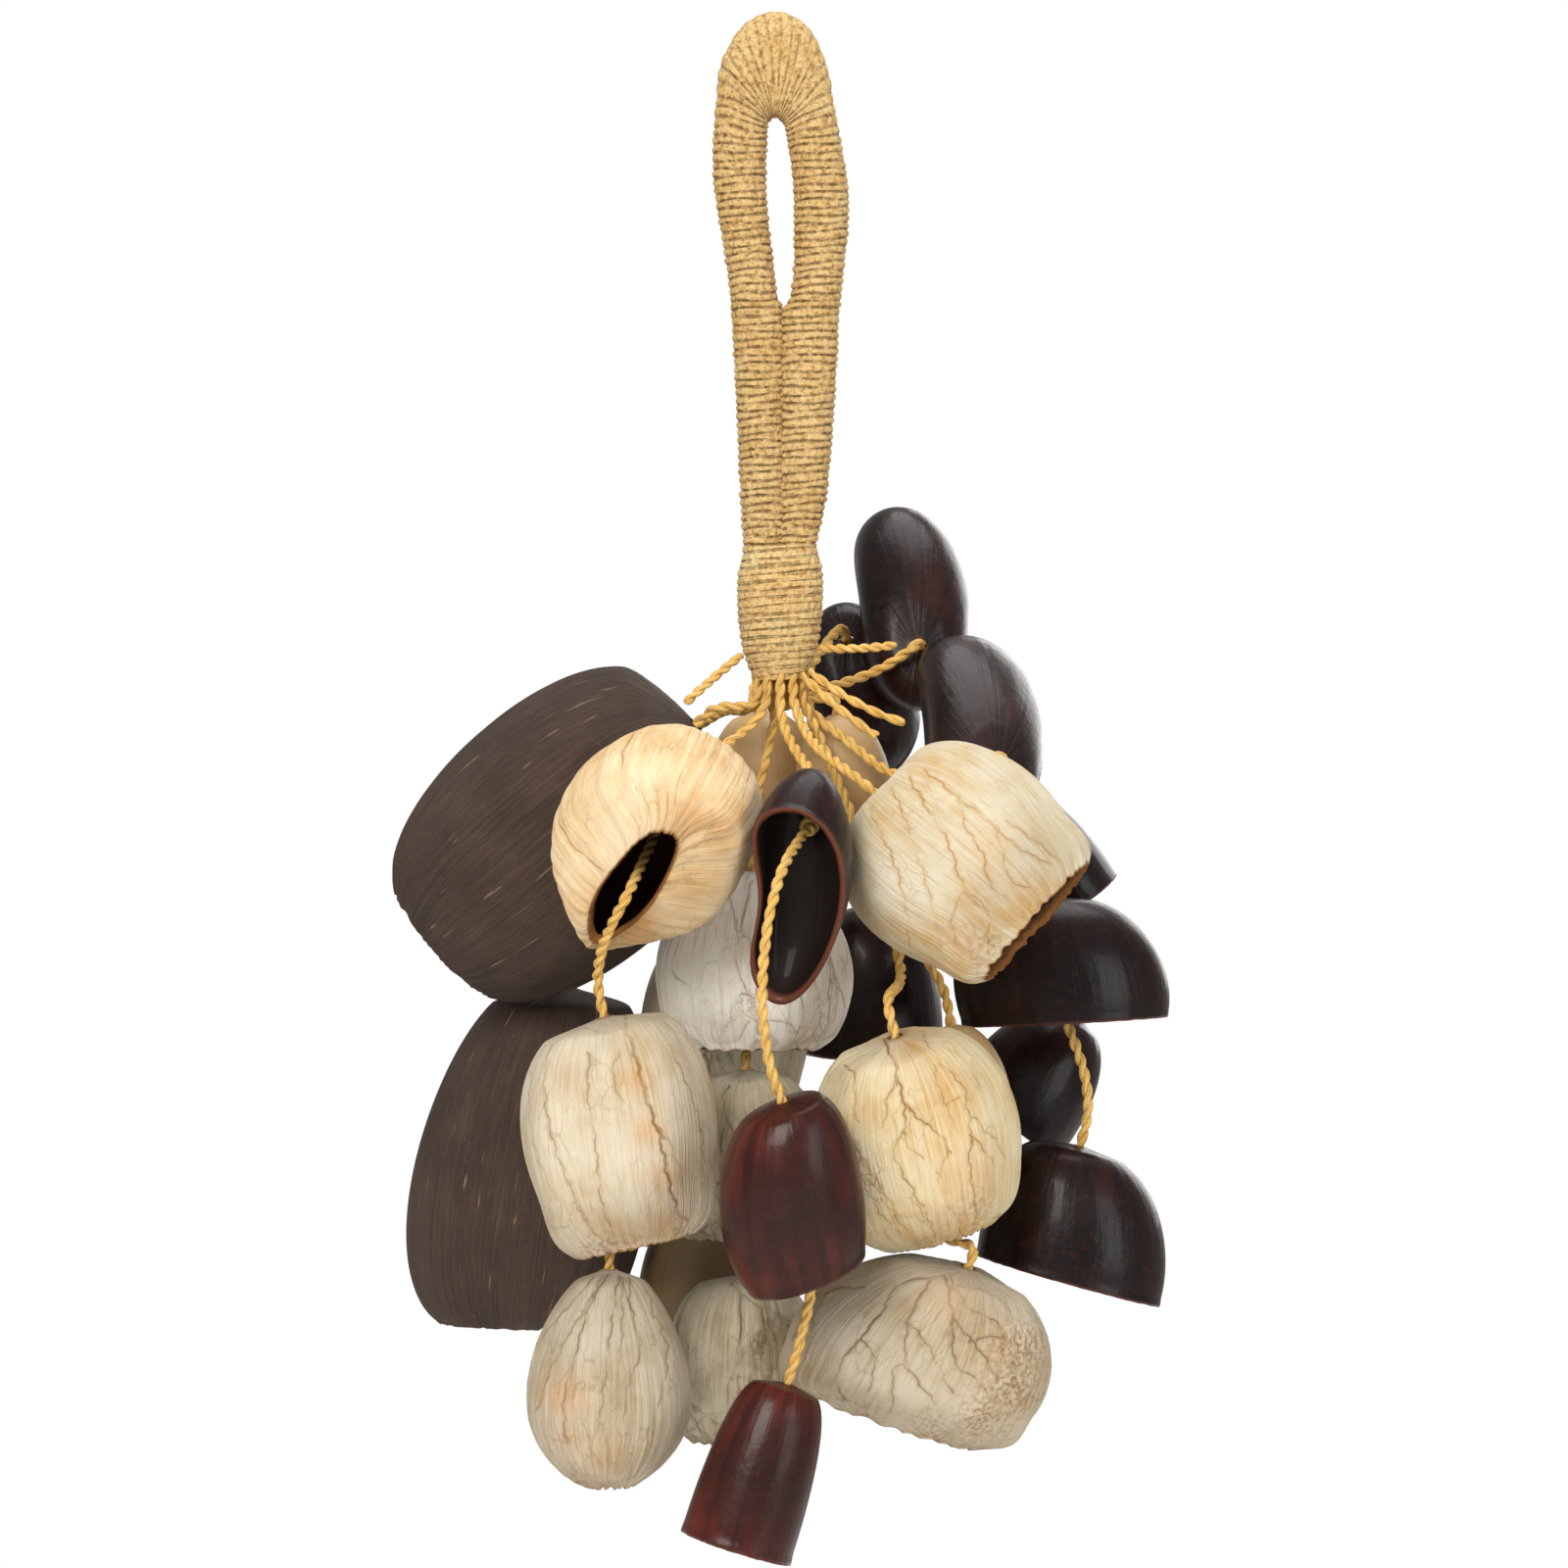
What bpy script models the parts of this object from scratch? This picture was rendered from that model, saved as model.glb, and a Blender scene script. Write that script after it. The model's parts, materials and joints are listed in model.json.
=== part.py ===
"""A nutshell rattle: strings of dried shells under a handle loop wound with twine.

Metres, +Z up. The front faces -Y. The origin is at the underside of the loop's
crown, where the rattle hangs. Lengths in the tables are in millimetres.
"""

import math

import bmesh
import bpy
from mathutils import Matrix, Vector

MM = 0.001
GAP = 0.4              # between pieces that nearly touch

CORD_R = 1.1           # radius of a string
KNOT_R = 2.2           # radius of a knot inside a shell
HOLE_R = CORD_R + GAP  # radius of the hole a string passes through
STEP = 6.0             # spacing of the points along a string
UNDER_KNOT = 8.0       # the string runs straight on this far under a knot
LOOSE_END = 12.0       # length of the loose end under the last knot
OVER_HOLE = 2.5        # the string is in line with a hole this far over it
TAIL_R = 0.9           # radius of a loose end at the collar
# A knot: distance below the shell's wall, and thickness as a share of the string's.
KNOT_FORM = ((0.0, 1.0), (1.2, KNOT_R / CORD_R), (4.2, KNOT_R / CORD_R), (5.4, 1.0))

CORE_R = 1.5           # radius of the bent cane in the handle
TURN = 3.2             # pitch of the modelled ridges on the handle
RIDGE = 0.94           # size of the groove between two ridges
HANDLE_DEPTH = 5.6     # half thickness of the handle, front to back
FOOT_DEPTH = 3.7       # the same at the feet of the legs
FOOT_LENGTH = 26.0     # the legs get thinner over this length
CORE_SLACK = 1.0       # room round the cane in the winding

COLLAR_TOP = -89.0
COLLAR_BOTTOM = -115.6
COLLAR_HOLE_R = HOLE_R + 0.2   # the middle string comes down through it
COLLAR_CAVITY = -107.6         # bottom of the hollow that takes the feet of the legs
CANE_FOOT = -98.0              # the cane ends here
INNER_TOP = COLLAR_BOTTOM + 6  # the middle string starts here, in the collar
FAN_Z = COLLAR_BOTTOM - 0.8    # where the strings start under the collar
FAN_R = 4.9                    # radius of the ring of strings
FAN_OUT = 0.5                  # how much they lean outwards there
STRAIGHT = 3.0                 # the strings run straight down this far at first
# Places along the handle at which the cane and its bore have a ring, closer over the crown.
CORE_STATIONS = ([0.40 * i / 12 for i in range(12)] + [0.40 + 0.20 * i / 20 for i in range(20)]
                 + [0.60 + 0.40 * i / 12 for i in range(13)])

SHELL_SEGMENTS = 12
# Shares of the profile's angle at which a shell has a ring of points.
SHELL_RINGS = (0.15, 0.34, 0.55, 0.78, 1.0)
PINCH_FROM = 1.9       # the slit of a mouth starts at this angle of the profile, in radians
SLIT_LONGER = 0.25     # a full slit is longer than the round mouth by this share
SLIT_NARROWER = 0.50   # and narrower by this one
LEAN_POWER = 1.5       # how soon a shell that leans comes back under its middle

# Each kind of shell: the angle of its profile at the mouth in degrees, the power
# that makes the profile fuller, wall thickness, thickness of the lip, depth of the
# kidney dent, how far the mouth is pinched to a slit, height of the lobes, how much
# it narrows towards the mouth, and how much narrower one end of the mouth is.
KINDS = {
    "cream": dict(mouth=157, power=0.80, wall=2.0, lip=0.75, dent=0.0, slit=1.0, lobe=0.025,
                  taper=0.0, egg=0.0),
    "pod": dict(mouth=99, power=0.80, wall=1.3, lip=0.35, dent=0.30, slit=0.0, lobe=0.0,
                taper=0.0, egg=0.0),
    "husk": dict(mouth=142, power=0.74, wall=3.0, lip=0.45, dent=0.0, slit=0.0, lobe=0.012,
                 taper=0.0, egg=0.0),
    "tan": dict(mouth=118, power=0.90, wall=1.5, lip=0.35, dent=0.0, slit=0.0, lobe=0.0,
                taper=0.0, egg=0.0),
}

# How a single shell differs from its kind.
FORMS = {
    "husk_a": dict(mouth=157, power=0.62),
    "husk_b": dict(mouth=156, power=0.62, taper=-0.14),
    "cream_c": dict(mouth=150, taper=0.08),
    "cream_e": dict(mouth=150, power=0.70, taper=0.10),
    "cream_l": dict(power=0.74, taper=0.06),
    "cream_m": dict(mouth=163, power=0.95, taper=-0.22, slit=0.3),
    "cream_n": dict(mouth=158, power=0.80, slit=0.6),
    "cream_t": dict(power=0.80, taper=-0.16),
    "cream_q": dict(mouth=150, power=0.90, taper=-0.12, slit=0.4),
    "cream_r": dict(mouth=148, slit=0.6),
    "cream_y": dict(slit=0.6),
    "pod_d": dict(dent=0.50, egg=-0.22),
    "pod_o": dict(mouth=132, power=0.68, dent=0.18),
    "pod_p": dict(mouth=97, power=0.45, dent=0.15),
    "pod_g": dict(egg=0.18),
    "pod_i": dict(mouth=110, power=0.74, dent=0.15),
    "pod_k": dict(mouth=101, power=0.68, dent=0.15),
}

# name: base colour, roughness
MATERIALS = {
    "cream": ((0.78, 0.68, 0.50, 1.0), 0.75),
    "pod": ((0.045, 0.018, 0.016, 1.0), 0.22),
    "husk": ((0.075, 0.052, 0.040, 1.0), 0.80),
    "tan": ((0.50, 0.33, 0.17, 1.0), 0.50),
    "twine": ((0.70, 0.48, 0.20, 1.0), 0.85),
    "cane": ((0.42, 0.27, 0.13, 1.0), 0.70),
}

# Each string: its direction round the collar in degrees (0 is +X, 90 is the back)
# and its shells from the top down. A shell has a name, a kind, its centre, its half
# width, half depth and height, the way its mouth faces, its roll about that axis,
# and how far the hole sits towards one end of the shell.
STRINGS = {
    "front": (-90, [
        ("pod_d", "pod", (3.7, -42.5, -158), (22.5, 11.8, 17), (-0.30, -0.86, -0.42), 84, -0.55),
        ("pod_o", "pod", (-0.6, -55, -218), (15, 13, 37), (0.33, 0.30, -0.90), 0, 0.48),
        ("pod_p", "pod", (-3.6, -46, -273), (11.6, 11.5, 35), (-0.30, 0.0, -0.95), 0, 0.0),
    ]),
    "front_left": (-122.7, [
        ("cream_c", "cream", (-25.2, -37.5, -147.5), (25, 20, 37), (-0.24, -0.80, -0.55), 112, 0),
        ("cream_l", "cream", (-34.2, -36, -207), (20, 16.5, 48), (0.22, 0.05, -0.97), 0, 0.20),
        ("cream_m", "cream", (-34.4, -33.5, -256), (18.8, 16, 45), (0.0, 0.05, -1), 90, 0),
    ]),
    "left": (-155.5, [
        ("husk_a", "husk", (-43, 7.5, -146.5), (28, 24.5, 72), (-0.74, 0.20, -0.63), 0, 0),
    ]),
    "low_left": (171.8, [
        ("husk_b", "husk", (-54.5, 29, -214), (24.5, 24, 73), (-0.03, 0, -1), 0, 0.35),
    ]),
    "front_right": (-57.3, [
        ("cream_e", "cream", (35.5, -35, -152), (22.5, 17.5, 43.5), (0.74, -0.30, -0.60), 0, 0),
    ]),
    "low_right": (-24.5, [
        ("cream_n", "cream", (26.5, -31, -208), (21, 17, 45), (0.25, 0.30, -0.92), 0, 0.1),
        ("cream_t", "cream", (27.5, -23, -249.5), (26, 17, 37), (-0.32, 0.20, -0.92), 0, 0.2),
    ]),
    "right": (8.2, [
        ("pod_g", "pod", (41.8, 0.5, -122.6), (23.5, 14.5, 18), (-0.28, 0.82, -0.45), 100, -0.72),
        ("pod_i", "pod", (58.2, 6, -173), (22.3, 14, 26.5), (0.05, 0, -1), 0, -0.15),
        ("pod_k", "pod", (63, 2, -226), (20, 14, 28), (-0.27, 0, -0.96), 0, -0.25),
    ]),
    "right_back": (73.6, [
        ("pod_f", "pod", (27, 33, -98), (22, 13.5, 17), (-0.1, 0.97, -0.2), 100, -0.55),
        ("pod_h", "pod", (55.5, 34, -150), (9.5, 12, 27), (0.55, 0.1, -0.80), 0, 0),
        ("pod_j", "pod", (55, 33, -197), (14, 12, 27), (-0.60, 0, -0.80), 0, 0),
    ]),
    "back": (106.4, [
        ("pod_z", "pod", (16, 46, -117), (18, 13, 18), (0.1, 0.9, -0.4), 95, 0.45),
        ("pod_w", "pod", (19.5, 46, -178), (15, 14, 32), (0, 0.1, -1), 0, 0),
    ]),
    "back_left": (139.1, [
        ("tan_x", "tan", (-3, 28, -136), (13, 12, 30), (0.1, 0.15, -1), 0, 0),
        ("cream_y", "cream", (-12, 36, -188), (18, 16, 44), (-0.05, 0.05, -1), 0, 0),
        ("tan_y", "tan", (-14, 36, -240), (16, 15, 36), (-0.05, 0.05, -1), 0, 0),
    ]),
    "inner": (40.9, [
        ("tan_v", "tan", (13, 9, -136), (10.5, 10, 28), (0.1, 0.1, -1), 0, 0),
        ("tan_u", "tan", (37, -2.5, -199), (10.5, 9.5, 26), (0.15, -0.1, -1), 0, 0),
    ]),
    "centre": (None, [
        ("cream_q", "cream", (-6, -3, -173), (20, 13.5, 38), (0, 0, -1), 0, 0),
        ("cream_r", "cream", (-7, -2, -213), (17, 15, 36), (0.0, 0, -1), 0, 0),
        ("cream_s", "cream", (-8, -2, -255), (16, 15, 36), (-0.03, 0, -1), 0, 0),
    ]),
}

# Points that a string passes on its way to a shell.
VIA = {
    "cream_n": [(17, -10, -150), (24.5, -15, -174)],
    "pod_f": [(10, 16, -117), (21, 19, -113)],
    "pod_g": [(13, -4, -127.5), (27, -14, -136)],
    "pod_i": [(46, 21, -142)],
    "husk_b": [(-12, 12, -122), (-20, 24, -127), (-36, 38, -141), (-46, 39, -165)],
}

# Shells whose string hangs straight down from the knot to the next shell.
PLUMB = ("pod_o", "pod_i")

# Strings that hang in one body, because one lies against the other's shell.
TOGETHER = {"low_right": "front_right", "low_left": "left"}

# Loose ends at the collar: start, middle and cut end.
TAILS = {
    "stub_right": ((8.05, -1.0, -109.0), (16.0, -3.0, -109.6), (24.0, -4.5, -108.4)),
    "stub_left": ((-7.75, -0.8, -110.3), (-13.0, -3.0, -114.5), (-19.5, -5.0, -120.5)),
    "cut_end_upper": ((5.85, -3.1, -113.6), (14.5, -8.5, -121.0), (25.6, -10.0, -124.6)),
    "cut_end_lower": ((4.35, -4.4, -114.4), (11.0, -9.4, -121.5), (20.0, -12.0, -127.4)),
}

# The handle's outline: outer and inner edge of the winding, from the left leg's
# foot over the crown to the right leg's foot, as x and z.
HANDLE_EDGES = [
    ((-7.6, -88.4), (0.1, -88.4)), ((-8.3, -76.4), (0.1, -76.4)),
    ((-9.2, -56.8), (0.1, -56.8)), ((-10.0, -41.4), (0.1, -41.4)),
    ((-10.5, -35.4), (-0.6, -35.4)), ((-11.6, -27.2), (-1.6, -27.2)),
    ((-12.8, -20.0), (-2.4, -20.0)), ((-13.8, -13.0), (-2.8, -13.0)),
    ((-13.8, -5.0), (-2.7, -6.0)), ((-13.3, 3.0), (-2.4, -1.4)),
    ((-12.2, 11.2), (-2.0, -0.5)), ((-8.0, 18.8), (-1.5, 0.0)),
    ((-1.4, 22.0), (-1.0, 0.1)), ((5.2, 19.4), (-0.5, 0.0)),
    ((9.4, 11.8), (0.1, -0.6)), ((11.3, 2.2), (0.9, -1.8)),
    ((12.9, -6.2), (1.7, -6.4)), ((14.1, -14.0), (2.6, -14.0)),
    ((14.1, -22.2), (2.8, -22.2)), ((13.3, -30.2), (2.7, -30.2)),
    ((12.6, -37.0), (2.0, -37.0)), ((12.2, -41.4), (0.6, -41.4)),
    ((11.4, -56.8), (0.6, -56.8)), ((9.8, -76.4), (0.6, -76.4)),
    ((7.4, -88.4), (0.6, -88.4)),
]

# The collar: height, half width and half depth of its outside.
COLLAR_PROFILE = [
    (-89.0, 7.7, 5.4), (-92.0, 8.5, 6.4), (-97.0, 8.9, 7.2), (-103.0, 8.7, 7.2),
    (-108.0, 7.9, 6.9), (-112.0, 6.8, 6.3), (COLLAR_BOTTOM, 5.2, 5.2),
]
# The rings of its hollow, in the same way.
COLLAR_INSIDE = [(COLLAR_CAVITY + 2, 6.4, 3.4), (COLLAR_TOP, 6.7, 3.4)]


def smooth(x):
    x = min(1.0, max(0.0, x))
    return x * x * (3 - 2 * x)


def mix(a, b, t):
    return a + (b - a) * t


def add_object(name, mesh, material, place=None, parent=None):
    obj = bpy.data.objects.new(name, mesh)
    bpy.context.scene.collection.objects.link(obj)
    obj.data.materials.append(material)
    if parent:
        obj.parent = parent
    if place is not None:
        obj.location = place.to_translation()
        obj.rotation_euler = place.to_euler()
    return obj


def lofted(name, rings):
    """A closed mesh from rings of points, joined in order and round to the first."""
    bm = bmesh.new()
    loops = [[bm.verts.new(Vector(p) * MM) for p in ring] for ring in rings]
    count = len(rings[0])
    for i in range(len(loops)):
        a, b = loops[i], loops[(i + 1) % len(loops)]
        for k in range(count):
            n = (k + 1) % count
            bm.faces.new((a[k], a[n], b[n], b[k]))
    bmesh.ops.recalc_face_normals(bm, faces=bm.faces)
    mesh = bpy.data.meshes.new(name)
    bm.to_mesh(mesh)
    bm.free()
    mesh.shade_smooth()
    mesh.set_sharp_from_angle(angle=math.radians(50))
    return mesh


def form_of(name, kind):
    """The kind's numbers, with the shell's own in place of them."""
    return {**KINDS[kind], **FORMS.get(name, {})}


def shell_point(form, size, lean, turn, angle, inset):
    """A point of a shell's wall: turn goes round it, angle from its top to its mouth."""
    half_x, half_y, height = size
    mouth = math.radians(form["mouth"])
    down = (1 - math.cos(angle)) / (1 - math.cos(mouth))
    wide = math.sin(angle) ** form["power"] * (1 + form["taper"] * (1 - 2 * down))
    pinch = form["slit"] * smooth((angle - PINCH_FROM) / (mouth - PINCH_FROM))
    wave = 1 + form["lobe"] * math.sin(5 * turn + 2.2 * down) * smooth(down * 3)
    dent = 1 - form["dent"] * smooth(down) * max(0.0, math.sin(turn)) ** 4
    egg = 1 + form["egg"] * smooth(down) * math.cos(turn)
    x = (half_x - inset) * wide * (1 + SLIT_LONGER * pinch) * wave * math.cos(turn)
    y = (half_y - inset) * wide * (1 - SLIT_NARROWER * pinch) * wave * dent * egg * math.sin(turn)
    x += lean * half_x * (1 - down) ** LEAN_POWER
    z = -height * down
    if inset:
        z = mix(-form["wall"], -height + form["lip"] * form["wall"], down)
    return x, y, z


def shell_mesh(name, form, size, lean):
    """A bell with a hole at its top: outside from hole to mouth, then the inside back."""
    mouth = math.radians(form["mouth"])
    angles = [mouth * share for share in SHELL_RINGS]
    turns = [math.tau * i / SHELL_SEGMENTS for i in range(SHELL_SEGMENTS)]
    shift = lean * size[0]

    def hole(z):
        return [(shift + HOLE_R * math.cos(t), HOLE_R * math.sin(t), z) for t in turns]

    rings = [hole(0.0)]
    rings += [[shell_point(form, size, lean, t, a, 0) for t in turns] for a in angles]
    rings += [[shell_point(form, size, lean, t, a, form["wall"]) for t in turns]
              for a in reversed(angles[1:])]
    rings.append(hole(-form["wall"]))
    return lofted(name, rings)


def shell_frame(centre, size, facing, roll):
    """The place of a shell: its hole is the origin, and its mouth faces down its axis."""
    axis = Vector(facing).normalized()
    turn = Vector((0, 0, -1)).rotation_difference(axis).to_matrix()
    turn = (turn @ Matrix.Rotation(math.radians(roll), 3, "Z")).to_4x4()
    top = Vector(centre) - axis * size[2] / 2
    return Matrix.Translation(top) @ turn, axis


def bezier(start, way_out, end, way_in):
    far = (end - start).length
    a, b = start + way_out * far * 0.36, end - way_in * far * 0.36
    count = max(2, round(far / STEP))
    for i in range(1, count):
        t = i / count
        yield (start * (1 - t) ** 3 + a * 3 * t * (1 - t) ** 2
               + b * 3 * t * t * (1 - t) + end * t ** 3)


def cord_points(top, way, stops):
    """The string's line with its thickness: through each hole, a knot, out of the mouth."""
    here, out = top + Vector((0, 0, -STRAIGHT)), way
    points = [(top, 1.0), (here, 1.0)]
    for hole, axis, wall, mouth, via in stops:
        entry = hole - axis * OVER_HOLE
        for i, passed in enumerate(via):
            onward = ((via + [entry])[i + 1] - here).normalized()
            points += [(p, 1.0) for p in bezier(here, out, passed, onward)]
            points.append((passed, 1.0))
            here, out = passed, onward
        points += [(p, 1.0) for p in bezier(here, out, entry, axis)]
        points.append((entry, 1.0))
        knot = wall + GAP
        for depth, thick in KNOT_FORM:
            points.append((hole + axis * (knot + depth), thick))
        if hole is stops[-1][0]:
            points.append((hole + axis * (knot + LOOSE_END), 1.0))
            break
        here, out = hole + axis * (knot + UNDER_KNOT), axis
        points.append((here, 1.0))
        if mouth:
            points.append((mouth, 1.0))
            here = mouth
    return points


def cord_object(name, points, material, parent, radius=CORD_R):
    curve = bpy.data.curves.new(name, "CURVE")
    curve.dimensions = "3D"
    curve.bevel_depth = radius * MM
    curve.bevel_resolution = 2
    curve.use_fill_caps = True
    spline = curve.splines.new("POLY")
    spline.points.add(len(points) - 1)
    origin = parent.location if parent else Vector((0, 0, 0))
    for target, (p, thick) in zip(spline.points, points):
        target.co = (*(Vector(p) * MM - origin), 1.0)
        target.radius = thick
    return add_object(name, curve, material, parent=parent)


def handle_station(t):
    """Outer and inner edge of the handle at t, 0 at the left foot and 1 at the right."""
    mids = [(Vector(a) + Vector(b)) / 2 for a, b in HANDLE_EDGES]
    lengths = [0.0]
    for a, b in zip(mids, mids[1:]):
        lengths.append(lengths[-1] + (b - a).length)
    want = t * lengths[-1]
    i = max(k for k in range(len(mids) - 1) if lengths[k] <= want + 1e-9)
    f = (want - lengths[i]) / (lengths[i + 1] - lengths[i])
    outer = Vector(HANDLE_EDGES[i][0]).lerp(Vector(HANDLE_EDGES[i + 1][0]), f)
    inner = Vector(HANDLE_EDGES[i][1]).lerp(Vector(HANDLE_EDGES[i + 1][1]), f)
    return outer, inner, lengths[-1]


def core_line(t):
    """The cane runs in the middle of the winding, nearer the outside over the crown."""
    outer, inner, _ = handle_station(t)
    return (outer + inner) / 2


def handle_mesh(name):
    sides = 10
    total = handle_station(0)[2]
    turns = round(total / TURN)
    rings = []
    for i in range(2 * turns + 1):
        t = i / (2 * turns)
        outer, inner, _ = handle_station(t)
        middle, half = (outer + inner) / 2, (outer - inner) / 2
        foot = min(t, 1 - t) * total
        depth = mix(FOOT_DEPTH, HANDLE_DEPTH, smooth(foot / FOOT_LENGTH))
        size = 1.0 if i % 2 else RIDGE
        ring = []
        for k in range(sides):
            a = math.tau * (k + 0.5) / sides
            side = middle + half * math.cos(a) * size
            ring.append((side.x, depth * math.sin(a) * size, side.y))
        rings.append(ring)
    for t in reversed(CORE_STATIONS):
        outer, inner, _ = handle_station(t)
        middle, way = core_line(t), (outer - inner).normalized()
        reach = CORE_R + CORE_SLACK
        ring = []
        for k in range(sides):
            a = math.tau * (k + 0.5) / sides
            side = middle + way * reach * math.cos(a)
            ring.append((side.x, reach * math.sin(a), side.y))
        rings.append(ring)
    return lofted(name, rings)


def collar_mesh(name):
    sides = 16

    def oval(z, rx, ry):
        return [(rx * math.cos(math.tau * k / sides), ry * math.sin(math.tau * k / sides), z)
                for k in range(sides)]

    def size(z):
        for (z0, x0, y0), (z1, x1, y1) in zip(COLLAR_PROFILE, COLLAR_PROFILE[1:]):
            if z0 >= z >= z1:
                f = (z0 - z) / (z0 - z1)
                return mix(x0, x1, f), mix(y0, y1, f)
        return COLLAR_PROFILE[-1][1:]

    turns = round((COLLAR_TOP - COLLAR_BOTTOM) / TURN)
    rings = []
    for i in range(2 * turns + 1):
        z = mix(COLLAR_TOP, COLLAR_BOTTOM, i / (2 * turns))
        rx, ry = size(z)
        ridge = 1.0 if i % 2 else RIDGE
        rings.append(oval(z, rx * ridge, ry * ridge))
    rings.append(oval(COLLAR_BOTTOM, COLLAR_HOLE_R, COLLAR_HOLE_R))
    rings.append(oval(COLLAR_CAVITY, COLLAR_HOLE_R, COLLAR_HOLE_R))
    rings += [oval(*ring) for ring in COLLAR_INSIDE]
    return lofted(name, rings)


def build():
    for old in list(bpy.data.objects):
        bpy.data.objects.remove(old, do_unlink=True)
    materials = {}
    for name, (colour, rough) in MATERIALS.items():
        m = bpy.data.materials.new(name)
        m.use_nodes = True
        shader = m.node_tree.nodes["Principled BSDF"]
        shader.inputs["Base Color"].default_value = colour
        shader.inputs["Roughness"].default_value = rough
        shader.inputs["Metallic"].default_value = 0.0
        m.diffuse_color = colour
        materials[name] = m

    add_object("handle_winding", handle_mesh("handle_winding"), materials["twine"])
    middles = [core_line(t) for t in CORE_STATIONS]
    core = [(Vector((p.x, 0, p.y)), 1.0) for p in middles]
    core.insert(0, (Vector((core[0][0].x, 0, CANE_FOOT)), 1.0))
    core.append((Vector((core[-1][0].x, 0, CANE_FOOT)), 1.0))
    cord_object("handle_core", core, materials["cane"], None, CORE_R)
    add_object("collar_winding", collar_mesh("collar_winding"), materials["twine"])
    for name, (start, middle, end) in TAILS.items():
        start, middle, end = Vector(start), Vector(middle), Vector(end)
        line = [start * (1 - t) ** 2 + middle * 2 * t * (1 - t) + end * t * t
                for t in (i / 6 for i in range(7))]
        cord_object(name, [(p, 1.0) for p in line], materials["twine"], None, TAIL_R)

    hinges = {}
    for string, (direction, shells) in STRINGS.items():
        if direction is None:
            top, way, hinge = Vector((0, 0, INNER_TOP)), Vector((0, 0, -1)), None
        else:
            a = math.radians(direction)
            outward = Vector((math.cos(a), math.sin(a), 0))
            top = outward * FAN_R + Vector((0, 0, FAN_Z))
            way = (outward * FAN_OUT + Vector((0, 0, -1))).normalized()
            hinge = hinges.get(TOGETHER.get(string))
            if not hinge and string != "inner":
                hinge = bpy.data.objects.new(string + "_hinge", None)
                bpy.context.scene.collection.objects.link(hinge)
                hinge.location = top * MM
                hinges[string] = hinge
        origin = hinge.location / MM if hinge else Vector((0, 0, 0))
        stops = []
        for name, kind, centre, size, facing, roll, lean in shells:
            frame, axis = shell_frame(centre, size, facing, roll)
            hole = frame @ Vector((lean * size[0], 0, 0))
            via = [Vector(p) for p in VIA.get(name, [])]
            form = form_of(name, kind)
            # the string leaves through the middle of a slit, else straight under the hole
            across = 0 if form["slit"] else lean * size[0]
            mouth = None if name in PLUMB else frame @ Vector((across, 0, 1 - size[2]))
            stops.append((hole, axis, form["wall"], mouth, via))
            place = Matrix.Translation(((frame.to_translation() - origin) * MM)) \
                @ frame.to_3x3().to_4x4()
            mesh = shell_mesh(name, form, size, lean)
            add_object(name, mesh, materials[kind], place, hinge)
        cord_object(string + "_cord", cord_points(top, way, stops), materials["twine"], hinge)


build()
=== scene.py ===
"""Looks of the nutshell rattle: fine shells, twine windings and twisted strings."""

import json
import math
from collections import namedtuple

import bmesh
import bpy
import numpy as np
from mathutils import Matrix, Vector
from mathutils.kdtree import KDTree

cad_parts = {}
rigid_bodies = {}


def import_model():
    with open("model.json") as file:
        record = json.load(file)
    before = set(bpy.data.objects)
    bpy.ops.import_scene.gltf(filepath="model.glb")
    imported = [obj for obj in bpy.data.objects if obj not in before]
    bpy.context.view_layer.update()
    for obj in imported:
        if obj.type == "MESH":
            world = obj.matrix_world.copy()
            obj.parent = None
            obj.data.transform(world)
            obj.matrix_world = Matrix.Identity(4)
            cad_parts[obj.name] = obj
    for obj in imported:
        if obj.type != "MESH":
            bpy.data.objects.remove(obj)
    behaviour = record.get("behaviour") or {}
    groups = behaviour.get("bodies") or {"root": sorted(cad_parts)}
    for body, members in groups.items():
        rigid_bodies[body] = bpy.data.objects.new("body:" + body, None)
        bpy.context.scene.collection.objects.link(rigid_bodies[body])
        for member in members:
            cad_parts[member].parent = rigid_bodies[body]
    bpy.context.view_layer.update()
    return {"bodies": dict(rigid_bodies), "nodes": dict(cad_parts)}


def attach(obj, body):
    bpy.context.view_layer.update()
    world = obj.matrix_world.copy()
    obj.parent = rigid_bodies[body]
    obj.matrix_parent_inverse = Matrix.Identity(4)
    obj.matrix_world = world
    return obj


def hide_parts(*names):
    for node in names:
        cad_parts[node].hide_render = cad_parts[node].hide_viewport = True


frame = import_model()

# Lengths are in mm; the model is in metres.
MM = 0.001
CORD_R = 1.1
HOLE_R = 1.5
STEP = 2.0         # between the points of a string
UNDER_KNOT = 8.0
LOOSE_END = 12.0   # the string's end under its last knot
COLLAR_BOTTOM = -115.6
COLLAR_TOP = -89.0
FAN_Z = COLLAR_BOTTOM - 0.8
FAN_R = 4.9
STRAIGHT = 3.0
GAP = 0.4
HANDLE_DEPTH = 5.6
FOOT_DEPTH = 3.7
FOOT_LENGTH = 26.0
LEGS_MEET = 1.1    # the twine of one leg presses into the other's by this
FULLER = 0.86      # a section a little squarer than an ellipse
PINCH_FROM = 1.9   # radians from the top where a slit mouth starts to draw in
SLIT_LONGER = 0.25
SLIT_NARROWER = 0.50
FIRST_RING = 0.10  # share of the way down a shell where its hole's rim lies
ROOTED = 2.4       # how far a string reaches up into the collar

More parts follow.
